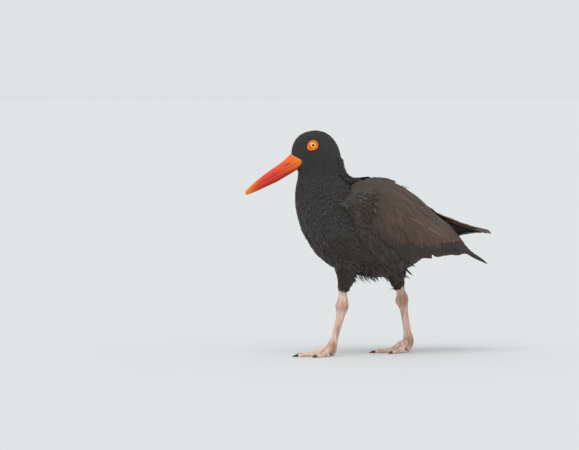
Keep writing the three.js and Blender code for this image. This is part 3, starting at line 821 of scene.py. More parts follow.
def bird_mm(points):
    """Places in the frame as millimetres of the bird."""
    return (points - np.array(SHIFT)) / MM


def gap_at(points):
    """Distance between feather roots, in millimetres, at places in the frame."""
    bird = bird_mm(points)
    up, front = bird[:, 2], -bird[:, 0]
    neckness = ease(up, *NECK_ZONE["up"]) * ease(front, *NECK_ZONE["front"])
    legness = 1 - ease(up, *LEG_UP)
    gap = GAPS["body"] + (GAPS["neck"] - GAPS["body"]) * neckness
    gap = gap + (GAPS["head"] - gap) * ease(up, *HEAD_UP)
    from_face = np.linalg.norm(bird - np.array(turned(FACE["centre"])), axis=1)
    gap = np.where(from_face < FACE["reach"], GAPS["face"], gap)
    return gap * (1 - legness) + GAPS["leg"] * legness


spots, spot_normals, spot_uvs = skin_surface.scatter(SPOTS, rng, gap_at)
gaps = gap_at(spots)
kept = spread(spots, gaps * MM)
root, normal, uv, size = spots[kept], spot_normals[kept], spot_uvs[kept], gaps[kept]
place = bird_mm(root)
lie = lie_at(root, normal)
print("roots kept:", len(kept))

# %% [markdown]
# Some skin stays bare: round the eyes, inside the bill's root, at the tail's root and under the
# folded wings. The eye's bare oval is tilted as the eye is. A tree of the wing's sheet tells how far
# the wing is from each root.

# %% Where none grow
EYE_TILT = math.radians(35)
EYE_CLEAR = (7.4, 6.3)  # mm, half the length and height of the bare oval
EYE_SIDE = 9  # mm, how far in from the eye the oval counts
BILL_ROOT = {"centre": (-97, 0, 249), "reach": 5}
TAIL_ROOT = 119
WING_NEAR = 0.02  # m
WING_COVER = {"from": 0.07, "top": 0.04, "low": 0.9, "back": 0.45, "lower_behind": 0.08}

clear = np.linalg.norm(place - np.array(turned(BILL_ROOT["centre"])), axis=1) > BILL_ROOT["reach"]
clear &= place[:, 0] < TAIL_ROOT
for side in SIDES:
    arm = place - np.array((middle_of(f"eye_{side}") - SHIFT) / MM)
    ahead = -(arm[:, 0] * math.cos(HEAD_TURN) + arm[:, 1] * math.sin(HEAD_TURN))
    long_way = ahead * math.cos(EYE_TILT) - arm[:, 2] * math.sin(EYE_TILT)
    tall_way = ahead * math.sin(EYE_TILT) + arm[:, 2] * math.cos(EYE_TILT)
    inside = (long_way / EYE_CLEAR[0]) ** 2 + (tall_way / EYE_CLEAR[1]) ** 2 < 1
    clear &= ~(inside & (np.abs(arm[:, 1]) < EYE_SIDE))

steps, lanes = len(ALONG), len(ACROSS)
quads = [
    (i * lanes + j, i * lanes + j + 1, (i + 1) * lanes + j + 1, (i + 1) * lanes + j)
    for i in range(steps - 1)
    for j in range(lanes - 1)
]
for side, hand in SIDES.items():
    tree = BVHTree.FromPolygons([Vector(p) for p in SHEETS[side].reshape(-1, 3)], quads)
    for i in np.flatnonzero((place[:, 1] * hand > 10) & (place[:, 0] > -50)):
        _, _, quad, far = tree.find_nearest(Vector(root[i]))
        row, lane = divmod(quad, lanes - 1)
        lowest = WING_COVER["low"] + WING_COVER["lower_behind"] * (ALONG[row] > WING_COVER["back"])
        if far < WING_NEAR and ALONG[row] > WING_COVER["from"] and WING_COVER["top"] < ACROSS[lane] < lowest:
            clear[i] = False
print("roots on bare skin:", int((~clear).sum()))

# %% [markdown]
# The roots are shared out by region, and each region has a form and a material of its own. Feathers
# follow the skin: where it is round they bend down to it, and where it is hollow they bend up, or
# their tips would sink. On the nape, the thighs and below the belly they are loose, and stand off.

# %% The coat
HUG = 0.75  # how closely feathers follow a round skin
ROOT_SUNK = 0.25  # mm
TURN = 0.55  # radians between the most left-turned and the most right-turned feather

face = (place[:, 2] > 236) & (place[:, 0] < -26)
nape = (place[:, 2] > 216) & (place[:, 2] < 258) & (place[:, 0] > -52) & (normal[:, 0] > 0.35)
hood = (place[:, 2] > 160) & (place[:, 0] < -20 + (place[:, 2] - 190) * 0.15)
back = (place[:, 0] > -34) & (normal[:, 2] > 0.2) & (place[:, 2] > 150) & ~hood
thighs = place[:, 2] < 104
belly = ~hood & ~back & ~thighs


def stands_off(places, ways, normals, lengths):
    """How far straight feathers' tips would stand off the skin, below zero where it is hollow."""
    tips = places + ways * lengths[:, None]
    hits = np.array([skin_tree.find_nearest(tip)[0] for tip in tips])
    height = ((tips - hits) * normals).sum(1)
    return np.where(height > 0, HUG * height, height)


def coat(name, chosen, form, material, slot, shape, pale, loose=False):
    """A region's feathers; shape is their length, half width, rise and curl, in gaps between roots."""
    pick = np.flatnonzero(chosen & clear)
    draw = rng.random((6, len(pick)))
    base = size[pick] * MM
    long, wide, rise, curl = shape
    lengths = base * long * (0.8 + 0.45 * draw[0])
    off = stands_off(root[pick], lie[pick], normal[pick], lengths)
    if loose:
        off = np.minimum(off, 0)
    stretch = (
        lengths,
        base * wide * (0.85 + 0.3 * draw[1]),
        base * rise * (0.5 + 1.0 * draw[2]),
        base * curl * (0.5 + 1.0 * draw[2]) + off,
        (draw[3] - 0.5) * TURN,
        np.full(len(pick), -ROOT_SUNK * MM),
    )
    looks = (0.15 + 0.7 * draw[4], pale * draw[5])
    spot = (root[pick], lie[pick], normal[pick], uv[pick])
    settle(write_feathers(name, form, spot, stretch, looks, material), slot)


head_coat = hood & ~nape
coat("face_feathers", head_coat & face, FINE_FORM, HOOD_FEATHER, "hood", (5.6, 0.8, 0.9, 0.3), 0.4)
coat("breast_feathers", head_coat & ~face, BROAD_FORM, HOOD_FEATHER, "hood", (6.2, 0.85, 0.9, 0.3), 0.4)
coat("nape_ruff", nape, RUFF_FORM, HOOD_FEATHER, "hood", (9.6, 0.95, 4.2, 0.8), 0.5, loose=True)
coat("belly_feathers", belly, BROAD_FORM, BELLY_FEATHER, "body", (5.8, 0.85, 0.8, 0.3), 0.5)
coat("back_feathers", back, BROAD_FORM, MANTLE_FEATHER, "wing", (6.4, 0.95, 1.3, 0.4), 0.9)
coat("thigh_feathers", thighs, RUFF_FORM, BELLY_FEATHER, "body", (6.0, 0.85, 0.9, 0.35), 0.5, loose=True)

# %% [markdown]
# In the photo a few loose tufts hang below the belly, between the legs. They are a small share of the
# belly's roots, grown again as long, narrow feathers whose lie is bent downwards.

# %% Loose tufts below the belly
TUFTS = {"from": -22, "to": 46, "under": -0.55, "share": 0.16, "drop": 0.65, "keep": 0.75}

hanging = belly & (normal[:, 2] < TUFTS["under"])
hanging &= (place[:, 0] > TUFTS["from"]) & (place[:, 0] < TUFTS["to"])
hanging &= rng.random(len(place)) < TUFTS["share"]
lie[hanging] = lie[hanging] * TUFTS["keep"] + np.array([0.0, 0.0, -TUFTS["drop"]])
lie[hanging] = unit(lie[hanging])
coat("belly_wisps", hanging, RUFF_FORM, BELLY_FEATHER, "body", (7.8, 0.6, 0.7, 0.2), 0.6, loose=True)

# %% [markdown]
# A long feather is a strip laid on a sheet, from its root to its tip, with a shaft down its middle
# and barbs that part here and there at the edge. It is two grids of points, the upper face and the
# lower one, which are joined round their rims into one closed vane.

# %% One long feather
VANE_ROWS = 16
VANE_COLUMNS = 9
vane_along = np.linspace(0, 1, VANE_ROWS)
vane_across = np.linspace(-1, 1, VANE_COLUMNS)
VANE_THICK = 0.5  # mm at the root
VANE = {"crown": 0.12, "tilt": 0.09, "shaft": 0.35, "sink": 1.4, "fray": 2.2}


def long_feather(place_at, half, lift, seed, pointed, tilt, notches=3):
    """Points of one closed vane. place_at gives its places, ways out and headings for shares along."""
    pick = np.random.default_rng(seed)
    along, columns = vane_along, vane_across
    end = np.clip((1 - along) / (0.16 + 0.3 * pointed), 0, 1)
    width = np.minimum(0.55 + along * 1.6, 1.0) * np.sqrt(np.clip(1 - (1 - end) ** 2, 0.02, 1))
    gap = np.zeros((VANE_ROWS, VANE_COLUMNS))
    for _ in range(notches):
        row = pick.integers(6, VANE_ROWS - 1)
        hand = pick.choice([0, VANE_COLUMNS - 1])
        gap[row, hand] = pick.uniform(0.1, 0.3)
    centre, out, heading = place_at(along)
    side = np.cross(out, heading)
    side /= np.linalg.norm(side, axis=1)[:, None]
    reach = columns[None, :] * width[:, None] * (1 - gap) * half
    fray = pick.uniform(-0.05, 0.09, VANE_COLUMNS)[None, :] * (along**6)[:, None] * half * VANE["fray"]
    crown = (1 - columns**2)[None, :] * half * VANE["crown"] + tilt * columns[None, :] * half * VANE["tilt"]
    is_shaft = np.abs(columns) < 0.05
    shaft = np.where(is_shaft, VANE["shaft"], 0.0)[None, :] * MM * (1 - along * 0.7)[:, None]
    sink = -VANE["sink"] * MM * np.clip(1 - along / 0.12, 0, 1)
    height = crown + shaft + (lift + sink)[:, None]
    top = centre[:, None] + side[:, None] * reach[..., None] + out[:, None] * height[..., None]
    top = top - heading[:, None] * fray[..., None]
    low = top - out[:, None] * (VANE_THICK * MM * (1 - 0.6 * along))[:, None, None]
    return np.concatenate([top.reshape(-1, 3), low.reshape(-1, 3)])


def strip_faces():
    """Faces of a closed vane: two grids of quads, joined round their rims."""
    n, m = VANE_ROWS, VANE_COLUMNS
    under = n * m
    faces = []
    for a in (i * m + j for i in range(n - 1) for j in range(m - 1)):
        faces.append((a, a + m, a + m + 1, a + 1))
        b = a + under
        faces.append((b, b + 1, b + m + 1, b + m))
    rim = list(range(m)) + [i * m + m - 1 for i in range(1, n)]
    rim += [(n - 1) * m + j for j in range(m - 2, -1, -1)] + [i * m for i in range(n - 2, 0, -1)]
    faces += [(a, b, b + under, a + under) for a, b in zip(rim, rim[1:] + rim[:1])]
    return np.array(faces)


STRIP = strip_faces()
print("faces of a long feather:", len(STRIP))

# %% [markdown]
# A vane is kept with its half width, its length and its looks until its row is done. Then all vanes
# of a kind are written as one mesh, with the same numbers that the small feathers have.

# %% Writing vanes
VANE_PATCH = 0.003  # size of a vane's spot on the unwrap
RIM_FROM = 0.86  # share along a vane from where its tip counts as rim


def vane(points, half, length, looks, spot):
    """A long feather with what its material needs to know; looks are its tone and its paleness."""
    return {"points": points, "half": half, "length": length, "looks": looks, "spot": spot}


def write_vanes(name, vanes, material, slot, *nodes):
    size = VANE_ROWS * VANE_COLUMNS * 2
    along = np.tile(np.repeat(vane_along, VANE_COLUMNS), 2)
    across = np.tile(np.tile(vane_across, VANE_ROWS), 2)
    rim = np.clip(np.maximum(np.abs(across), (along - RIM_FROM) / (1 - RIM_FROM)), 0, 1)
    numbers = {
        "along": np.tile(along, len(vanes)),
        "across": np.concatenate([across * v["half"] for v in vanes]),
        "run": np.concatenate([along * v["length"] for v in vanes]),
        "rim": np.tile(rim, len(vanes)),
        "tone": np.repeat([v["looks"][0] for v in vanes], size),
        "pale": np.repeat([v["looks"][1] for v in vanes], size),
    }
    local = np.stack([along, across / 2 + 0.5], 1) * VANE_PATCH
    piece = write_mesh(
        name,
        np.concatenate([v["points"] for v in vanes]),
        np.concatenate([STRIP + k * size for k in range(len(vanes))]),
        np.tile((STRIP < size // 2).all(1), len(vanes)),
        numbers,
        np.concatenate([v["spot"] + local for v in vanes]),
        material,
    )
    settle(piece, slot, *nodes)
    print(name, "vanes:", len(vanes), "faces:", len(vanes) * len(STRIP))


def sheet_spot(side, share, across):
    """The place on the unwrap of a wing's sheet: the left wing below, the right one above."""
    up = 0.02 + 0.44 * np.clip(across, 0, 1) + (0.5 if side == "right" else 0.0)
    return np.stack([0.02 + 0.9 * np.clip(share, 0, 1), up], -1)


print("points of a long feather:", VANE_ROWS * VANE_COLUMNS * 2)

# %% [markdown]
# A folded wing shows its feathers in rows that overlap like shingles: primaries and secondaries
# lowest, then greater, median and lesser coverts, then the long tertials, and the scapulars on top.
# A row is described by its first and last feather, and the ones between are mixed from them.

# %% The rows of a wing
# Kind, count, roots and tips of the first and last feather as shares along and across the wing, their
# half widths and lift off the wing in millimetres, and how pointed they are. The lowest row is first.
ROWS = [
    ("flight", 7, ((0.56, 0.66), (0.55, 0.36)), ((1.02, 0.5), (0.87, 0.14)), (4.2, 4.8), 0.3, 0.9),
    ("flight", 17, ((0.25, 0.6), (0.62, 0.52)), ((0.32, 1.03), (0.85, 0.99)), (4.8, 4.2), 0.6, 0.3),
    ("cover", 19, ((0.13, 0.5), (0.54, 0.4)), ((0.18, 0.84), (0.7, 0.76)), (4.5, 4.4), 0.9, 0.4),
    ("cover", 20, ((0.09, 0.38), (0.5, 0.32)), ((0.13, 0.68), (0.62, 0.6)), (4.3, 4.2), 1.2, 0.4),
    ("cover", 19, ((0.05, 0.25), (0.42, 0.22)), ((0.09, 0.53), (0.52, 0.48)), (4.2, 4.2), 1.5, 0.4),
    ("cover", 7, ((0.38, 0.42), (0.38, 0.1)), ((0.72, 0.6), (0.84, 0.14)), (6.4, 5.4), 1.4, 0.5),
    ("cover", 15, ((0.04, 0.12), (0.36, 0.14)), ((0.1, 0.4), (0.5, 0.36)), (4.4, 4.6), 1.9, 0.45),
    ("cover", 13, ((0.05, 0.04), (0.36, 0.04)), ((0.18, 0.24), (0.58, 0.22)), (4.6, 4.8), 2.2, 0.6),
    ("cover", 10, ((0.08, -0.05), (0.4, -0.03)), ((0.26, 0.09), (0.62, 0.1)), (4.6, 4.8), 2.4, 0.7),
]
JITTER = (0.004, 0.012, 0.008, 0.018)  # how far roots and tips stray, along and across
FIRST_ROOT = 0.075  # no root lies nearer the wrist
LESSER = {"rows": 6, "first": 15, "more": 2, "half": 3.6, "lift": 0.7, "step": 0.12}
WING_SEEDS = {"left": (7, 100), "right": (8, 900)}


def mix(pair, share):
    """A value between the two of a pair."""
    first, final = np.array(pair[0]), np.array(pair[1])
    return first + (final - first) * share


def wing_vane(side, rooted, tipped, half, lift, pointed, seed, looks):
    """One feather on a wing's sheet, from its root to its tip."""
    grid = SHEETS[side]
    ends = (rooted, tipped)

    def place_at(along):
        u, v = mix(ends, along[:, None]).T
        centre = on_sheet(grid, u, v)
        heading = np.gradient(centre, axis=0)
        return centre, sheet_out(grid, u, v, SIDES[side]), heading / np.linalg.norm(heading, axis=1)[:, None]

    u, v = mix(ends, vane_along[:, None]).T
    lifts = (lift * (0.2 + 0.8 * swell(u, np.minimum(1, v))) + 0.4) * MM
    points = long_feather(place_at, half * MM, lifts, seed, pointed, -SIDES[side])
    length = np.linalg.norm(points[(VANE_ROWS - 1) * VANE_COLUMNS] - points[0]) / MM
    return vane(points, half, length, looks, sheet_spot(side, rooted[0], rooted[1]))


def build_wing(side):
    draw, seed = WING_SEEDS[side]
    pick = np.random.default_rng(draw)
    groups = {"flight": [], "cover": []}
    for kind, count, roots, tips, halves, lift, pointed in ROWS:
        for order in np.arange(count) / (count - 1):
            stray = pick.normal(0, 1, 4) * JITTER
            rooted, tipped = mix(roots, order) + stray[:2], mix(tips, order) + stray[2:]
            rooted[0] = max(rooted[0], FIRST_ROOT)
            seed += 1
            ripe = 0.3 + 0.7 * ease(rooted[0], 0.08, 0.3)
            tone = pick.random() * (0.6 if kind == "flight" else 1.0) * ripe
            pale = pick.uniform(0.1, 1.0 if kind == "cover" else 0.5) * ripe**2
            height = lift + pick.uniform(0, 0.25)
            half = mix(halves, order)
            groups[kind].append(wing_vane(side, rooted, tipped, half, height, pointed, seed, (tone, pale)))
    for row in range(LESSER["rows"]):
        count = LESSER["first"] + LESSER["more"] * row
        for order in np.arange(count) / (count - 1):
            start = 0.06 + 0.34 * order
            across = 0.96 - 0.09 * row + pick.normal(0, 0.012)
            rooted = (max(0.06, start - 0.01 - 0.01 * row), across - 0.13)
            tipped = (start + 0.03 + 0.02 * order, across + 0.03)
            seed += 1
            looks = (pick.random() * 0.6, pick.uniform(0.05, 0.4))
            height = LESSER["lift"] + LESSER["step"] * row
            groups["cover"].append(wing_vane(side, rooted, tipped, LESSER["half"], height, 0.4, seed, looks))
    write_vanes(f"flight_feathers_{side}", groups["flight"], FLIGHT_FEATHER, "wing", f"wing_{side}")
    write_vanes(f"wing_coverts_{side}", groups["cover"], BACK_FEATHER, "wing", f"wing_{side}")


print("feathers in a wing's long rows:", sum(row[1] for row in ROWS))

# %% [markdown]
# Under its rows a real wing has flesh and bone. Here it is a thin dark pad, lofted just below the
# sheet, so that no light shows between the feathers.

# %% The pad inside each wing
PAD = {
    "from": 0.06, "to": 0.88, "top": 0.1, "low": 0.9, "thin": 1.6, "thick": 7, "ends": 0.8, "flat_from": 0.75
}


def wing_core(side):
    rings = []
    for share in np.linspace(PAD["from"], PAD["to"], 30):
        lanes_at = np.linspace(PAD["top"], PAD["low"], 13)
        outer = [Vector(on_sheet(SHEETS[side], np.array(share), np.array(v))) for v in lanes_at]
        bulge = math.sin(math.pi * min(1, share / PAD["ends"])) ** 0.5 * (share < PAD["flat_from"])
        depth = (PAD["thin"] + PAD["thick"] * bulge) * MM
        inner = [p + Vector((0, -SIDES[side] * depth, 0)) for p in reversed(outer)]
        rings.append(outer + inner)
    bm = bmesh.new()
    loft_into(bm, rings)
    core = finish_mesh(bm, f"wing_core_{side}", DOWN)
    unwrap(core)
    settle(core, "wing", f"wing_{side}")
    print("pad of the", side, "wing, faces:", len(core.data.polygons))


print("pad's thickness at most, in mm:", PAD["thin"] + PAD["thick"])

# %% [markdown]
# The breast's and mantle's feathers lie over the wing's front and its lower front, and hide where
# it leaves the body. They are spread on the wing's own sheet, slate at the bend, brown-black along
# the flank, and dark brown where they run out over the coverts.

# %% The shoulder's coat
SHOULDER = {
    "tries": 14000, "gap": 2.1, "along": (-0.03, 0.5), "across": (-0.13, 1.06), "flank": 0.5, "seed": 40
}


def shoulder_spots(side, rng):
    """Roots on the wing's sheet, thick at its front and edges: shares along and across, and places."""
    u = rng.uniform(*SHOULDER["along"], SHOULDER["tries"])
    v = rng.uniform(*SHOULDER["across"], SHOULDER["tries"])
    front = 1 - ease(u, 0.08, 0.23)
    low = ease(v, 0.84, 0.96) * (1 - ease(u, 0.36, 0.48))
    top = 0.8 * (1 - ease(v, 0.0, 0.12)) * (1 - ease(u, 0.22, 0.38))
    keep = rng.random(len(u)) < np.maximum(np.maximum(front, low), top) ** 1.3
    u, v = u[keep], v[keep]
    places = on_sheet(SHEETS[side], u, v)
    kept = spread(places, np.full(len(places), SHOULDER["gap"] * MM))
    return u[kept], v[kept], places[kept]


def shoulder_coat(side, rng):
    u, v, places = shoulder_spots(side, rng)
    out = sheet_out(SHEETS[side], u, v, SIDES[side])
    ahead = on_sheet(SHEETS[side], u + 0.07, v + 0.05 + 0.16 * ease(v, 0.05, 0.4)) - places
    follow = ease(u, 0.05, 0.18)[:, None]
    lies = unit(flattened(ahead, out) * follow + lie_at(places, out) * (1 - follow))
    draw = rng.random((6, len(u)))
    dark = (u - 0.05 * ease(v, 0.1, 0.4) + 0.09 * draw[5] + 0.08 * (v < 0.12) < 0.1)
    dark |= (v > 0.8) & (draw[2] < 0.7)
    upper = ease(v, -0.05, 0.2)
    flat = 1 - 0.65 * ease(v, 0.6, 0.85)
    stretch = np.stack([
        (9 + 4 * draw[0] + 3 * upper) * MM,
        (2.1 + 0.6 * draw[1]) * MM,
        (1.0 + 1.0 * draw[2]) * flat * MM,
        (0.8 + 0.6 * draw[2]) * MM,
        (draw[3] - 0.5) * 0.45,
        (0.9 + (0.6 + 2.1 * swell(u, v)) * upper) * MM,
    ])
    for name, chosen, material in (
        ("shoulder_coat", dark & (v < SHOULDER["flank"]), HOOD_FEATHER),
        ("flank_coat", dark & (v >= SHOULDER["flank"]), BELLY_FEATHER),
        ("shoulder_coverts", ~dark, MANTLE_FEATHER),
    ):
        n = np.flatnonzero(chosen)
        spot = (places[n], lies[n], out[n], sheet_spot(side, u[n], v[n]))
        looks = (draw[4][n], 0.7 * draw[5][n])
        piece = write_feathers(f"{name}_{side}", BROAD_FORM, spot, stretch[:, n], looks, material)
        settle(piece, "wing", f"wing_{side}")


for side, hand in SIDES.items():
    build_wing(side)
    wing_core(side)
    shoulder_coat(side, np.random.default_rng(SHOULDER["seed"] + hand))

# %% [markdown]
# The tail is a fan of twelve long feathers. The middle pair lies on top, and each next one outwards
# a little lower. Short covert feathers carry the back's line on to the tail above, and fill the
# wedge below it, where darker tones paint the shade under the tail. A dark core inside stops the light.

# %% The tail
TAIL = {"start": 108, "end": 173, "half_root": 13, "half_tip": 31, "arch": 4}
RUMP_LINE = [(80, 197), (97, 181.5), (108, 176.6), (132, 168.6), (152, 163.5), (173, 159)]
VENT_LINE = [(80, 118), (100, 138), (118, 151), (132, 157), (152, 160), (173, 158.5)]
RECTRICES = {"count": 12, "half": 7.6, "step": 0.4, "seed": 300}
# Rows of coverts above and below: how far each row reaches along the tail
UPPER_COVERTS = {"ends": (0.66, 0.5, 0.34, 0.18), "first": 10, "half": 5.6, "seed": 400}
LOWER_COVERTS = {"ends": (0.75, 0.5, 0.25), "first": 9, "half": 5.8, "seed": 500}
COVERT_LONG = 0.5  # share of the tail
FULL_LENGTH = 64  # mm


def tail_point(share, side, line, sink=0.0):
    half = TAIL["half_root"] + (TAIL["half_tip"] - TAIL["half_root"]) * share
    x = TAIL["start"] + (TAIL["end"] - TAIL["start"]) * share
    z = float(np.interp(x, [p[0] for p in line], [p[1] for p in line]))
    z -= sink + TAIL["arch"] * side * side * max(share, 0.2)
    return at((x - 2 * side * side * share, half * side, z))


def tail_vane(side, start, end, half, sink, seed, looks, line=RUMP_LINE, up=1):
    """One feather of the tail or its coverts; up is -1 where it faces the ground."""
    reach = 1 - half / TAIL["half_tip"]

    def place_at(along):
        centre = np.array([tail_point(s, side * reach, line, sink) for s in start + (end - start) * along])
        heading = unit(np.gradient(centre, axis=0))
        out = np.tile(np.array([0.25, side * 0.25 * up, 1.0]) * up, (len(along), 1))
        return centre, flattened(out, heading), heading

    points = long_feather(place_at, half * MM, 0.4 * MM, seed, 0.15, np.sign(side) * up, 2)
    spot = np.array([0.94, 0.02 + 0.9 * (side / 2 + 0.5)])
    return vane(points, half, FULL_LENGTH * (end - start), looks, spot)


def covert_rows(pick, rows, narrower, wide, sinks, tones, pale, line, up):
    """Rows of short feathers over or under the tail's root."""
    vanes = []
    for row, end in enumerate(rows["ends"]):
        count = rows["first"] - row
        for i in range(count):
            side = (2 * i / (count - 1) - 1) * (wide - narrower * row)
            stop = end + pick.uniform(-0.05, 0.05)
            sink = sinks[0] + sinks[1] * row
            looks = (pick.random() * tones, pale)
            seed = rows["seed"] + 20 * row + i
            vanes.append(tail_vane(side, stop - COVERT_LONG, stop, rows["half"], sink, seed, looks, line, up))
    return vanes


def tail_core():
    rings = []
    for share in np.linspace(-0.1, 0.86, 14):
        top = [tail_point(share, side, RUMP_LINE, 2.2) for side in np.linspace(-0.86, 0.86, 11)]
        low = [tail_point(share, side, VENT_LINE, -1.2) for side in np.linspace(0.86, -0.86, 11)]
        low = [Vector((p.x, p.y, min(p.z, q.z - 0.4 * MM))) for p, q in zip(low, reversed(top))]
        rings.append(top + low)
    bm = bmesh.new()
    loft_into(bm, rings)
    core = finish_mesh(bm, "tail_core", DOWN)
    unwrap(core)
    settle(core, "body", "tail")


pick = np.random.default_rng(5)
vanes = []
for i in range(RECTRICES["count"]):
    middle = (RECTRICES["count"] - 1) / 2
    rank = abs(i - middle) - 0.5
    looks = (pick.random() * 0.5, 0.6)
    sink = RECTRICES["step"] * rank
    seed = RECTRICES["seed"] + i
    vanes.append(tail_vane(i / middle - 1, 0.02, 1 - 0.008 * rank, RECTRICES["half"], sink, seed, looks))
vanes += covert_rows(pick, UPPER_COVERTS, 0.06, 0.98, (-0.5, -0.5), 1.0, 0.6, RUMP_LINE, 1)
# the coverts below the tail get darker tones and fainter pale edges than those above: painted shade under the
# tail
vanes += covert_rows(pick, LOWER_COVERTS, 0.0, 0.9, (0.5, 0.4), 0.4, 0.15, VENT_LINE, -1)
write_vanes("tail_feathers", vanes, TAIL_FEATHER, "body", "tail")
tail_core()

# %% [markdown]
# The bill is bone in a sheath of horn: a long, deep-sided wedge, flattened from side to side towards
# a worn chisel tip. Each half is lofted from named heights and widths, with a groove that holds the
# slit of the nostril.

# %% The shape of the bill
BILL_STEPS = 70
BILL_ARC = 21  # points round a half's outside
BILL_FLAT = 11  # points across its inside
BILL_ROUND = 0.85
MOUTH_GAP = 0.25  # mm
MOUTH_DIP = 0.12  # mm
NOSTRIL = {"x": -106.2, "z": 247.7, "slope": math.radians(34), "long": 6.2, "tall": 0.85, "deep": 1.3}
GROOVE = {"long": 13.02, "tall": 2.6, "deep": 0.55}


def on_nostril(x, z):
    """How far a place on the bill's side is from the nostril's middle, along and across its slit."""
    ahead, up = x - NOSTRIL["x"], z - NOSTRIL["z"]
    c, s = math.cos(NOSTRIL["slope"]), math.sin(NOSTRIL["slope"])
    return ahead * c + up * s, up * c - ahead * s


def bill_ring(share, upper):
    x, culmen, mouth, under, half = curve_at(BILL, share)
    hand = 1 if upper else -1
    edge = mouth + hand * MOUTH_GAP / 2
    ridge = culmen if upper else under
    ring = []
    for k in range(BILL_ARC + 1):
        angle = math.pi * k / BILL_ARC
        y = half * math.cos(angle)
        z = edge + (ridge - edge) * math.sin(angle) ** BILL_ROUND
        if upper and abs(y) > 0.2:
            along, tall = on_nostril(x, z)
            reach = (along / GROOVE["long"]) ** 2 + (tall / GROOVE["tall"]) ** 2
            slit = (along / NOSTRIL["long"]) ** 2 + (tall / NOSTRIL["tall"]) ** 2
            pinch = GROOVE["deep"] * math.exp(-reach) + NOSTRIL["deep"] * math.exp(-slit * slit)
            y -= math.copysign(min(pinch, abs(y) * 0.6), y)
        ring.append(at(turned((x, y, z))))
    for k in range(1, BILL_FLAT):
        across = k / BILL_FLAT
        dip = MOUTH_DIP * math.sin(math.pi * across)
        ring.append(at(turned((x, -half + 2 * half * across, edge + hand * dip))))
    return ring


print("points round a half of the bill:", len(bill_ring(0.5, True)))

# %% [markdown]
# The bill's colour runs from yellow-orange at the gape through red to a worn, paler tip, and is deeper
# on the lower half. Fine lines of growth run along it. The horn lets a little light in, which scatters
# under its surface.

# %% Horn
HORN_LIGHT = (2.0 * MM, 0.6 * MM, 0.2 * MM)
UPPER_HORN = [
    (0.0, "#F68A00"), (0.16, "#F87803"), (0.36, "#EE4E03"), (0.55, "#E02A04"), (0.78, "#E43A06"),
    (0.9, "#EE7406"), (1.0, "#F09008"),
]
LOWER_HORN = [
    (0.0, "#EE6C00"), (0.2, "#D83404"), (0.45, "#B81606"), (0.8, "#C42206"), (0.93, "#E46806"),
    (1.0, "#E8860E"),
]


def horn_material():
    """Keratin sheath: satin horn with fine growth lines, yellow-orange where thin and worn, with painted
    shade in the nostril's slit.
    """
    material, tree, shader = new_material(
        "orange bill horn", Roughness=0.44, IOR=1.5, Coat_Weight=0.06, Coat_Roughness=0.25,
        Subsurface_Weight=0.08, Subsurface_Radius=HORN_LIGHT,
    )
    run, height, slit = (
        add_node(tree, "Attribute", "Fac", attribute_name=key) for key in ("run", "height", "slit")
    )
    where = add_node(tree, "TexCoord", "Object")
    cloud = add_node(tree, "TexNoise", Vector=where, Scale=1 / (9 * MM), Detail=4.0)
    spot = add_node(tree, "CombineXYZ", X=run, Y=height)
    drawn_out = add_node(tree, "Mapping", Vector=spot, Scale=(0.12, 2.2, 1.0))
    lines = add_node(tree, "TexNoise", Vector=drawn_out, Scale=1.0, Detail=5.0)
    wobble = add_node(tree, "Math", operation="MULTIPLY_ADD", _0=cloud, _1=10.0, _2=run)
    length = add_node(tree, "MapRange", Value=wobble, From_Min=5.0, From_Max=83.0)
    top = add_node(tree, "ValToRGB", stops=UPPER_HORN, Fac=length)
    low = add_node(tree, "ValToRGB", stops=LOWER_HORN, Fac=length)
    half = add_node(tree, "MapRange", Value=height, From_Min=-7.0, From_Max=0.5)
    colour = add_node(tree, "Mix", 2, **MIX, _0=half, _6=low, _7=top)
    streak = add_node(tree, "MapRange", Value=lines, From_Min=0.3, From_Max=0.7, To_Min=0.82, To_Max=1.06)
    # painted shade: the nostril's slit is darkened almost to black, as the shade inside its opening
    nostril_shade = add_node(tree, "MapRange", Value=slit, From_Min=0.3, From_Max=0.65, To_Min=1.0, To_Max=0.06)
    shade = add_node(tree, "Math", operation="MULTIPLY", _0=streak, _1=nostril_shade)
    colour = add_node(tree, "Mix", 2, **MULTIPLY, _0=1.0, _6=colour, _7=shade)
    paint(tree, shader, colour, lines, 0.25, 0.2)
    return material


HORN = horn_material()
print("material made:", HORN.name)

# %% [markdown]
# The material reads three numbers at every point of the horn: its distance from the root, its height
# over the mouth's line, and how near it is to the nostril's slit. They are worked out in the head
# before its turn.

# %% The bill
BILL_START = -83.5
MOUTH_LINE = np.array(sorted((row[0], row[2]) for row in BILL)).T


def put_numbers(piece, name, values):
    piece.data.attributes.new(name, "FLOAT", "POINT").data.foreach_set("value", np.array(values, np.float32))


def unturned(point):
    """A point of the turned head, back in the unturned one."""
    c, s = math.cos(-HEAD_TURN), math.sin(-HEAD_TURN)
    x, y = point.x - NECK_X, point.y
    return Vector((NECK_X + x * c - y * s, x * s + y * c, point.z))


def slit_share(point):
    """1 in the nostril's slit and 0 away from it."""
    along, tall = on_nostril(point.x, point.z)
    near = math.exp(-((along / NOSTRIL["long"]) ** 4) - (tall / NOSTRIL["tall"]) ** 2)
    return near if abs(point.y) > 2 else 0.0


for half_name, is_upper in (("upper", True), ("lower", False)):
    bm = bmesh.new()
    loft_into(bm, [bill_ring(share, is_upper) for share in np.arange(BILL_STEPS + 1) / BILL_STEPS])
    horn = finish_mesh(bm, f"bill_{half_name}_horn", HORN)
    points = [unturned((v.co - SHIFT) / MM) for v in horn.data.vertices]
    put_numbers(horn, "run", [BILL_START - p.x for p in points])
    put_numbers(horn, "height", [p.z - np.interp(p.x, *MOUTH_LINE) for p in points])
    put_numbers(horn, "slit", [slit_share(p) if is_upper else 0.0 for p in points])
    unwrap(horn)
    settle(horn, "bill", f"bill_{half_name}")
    print(horn.name, "faces:", len(horn.data.polygons))
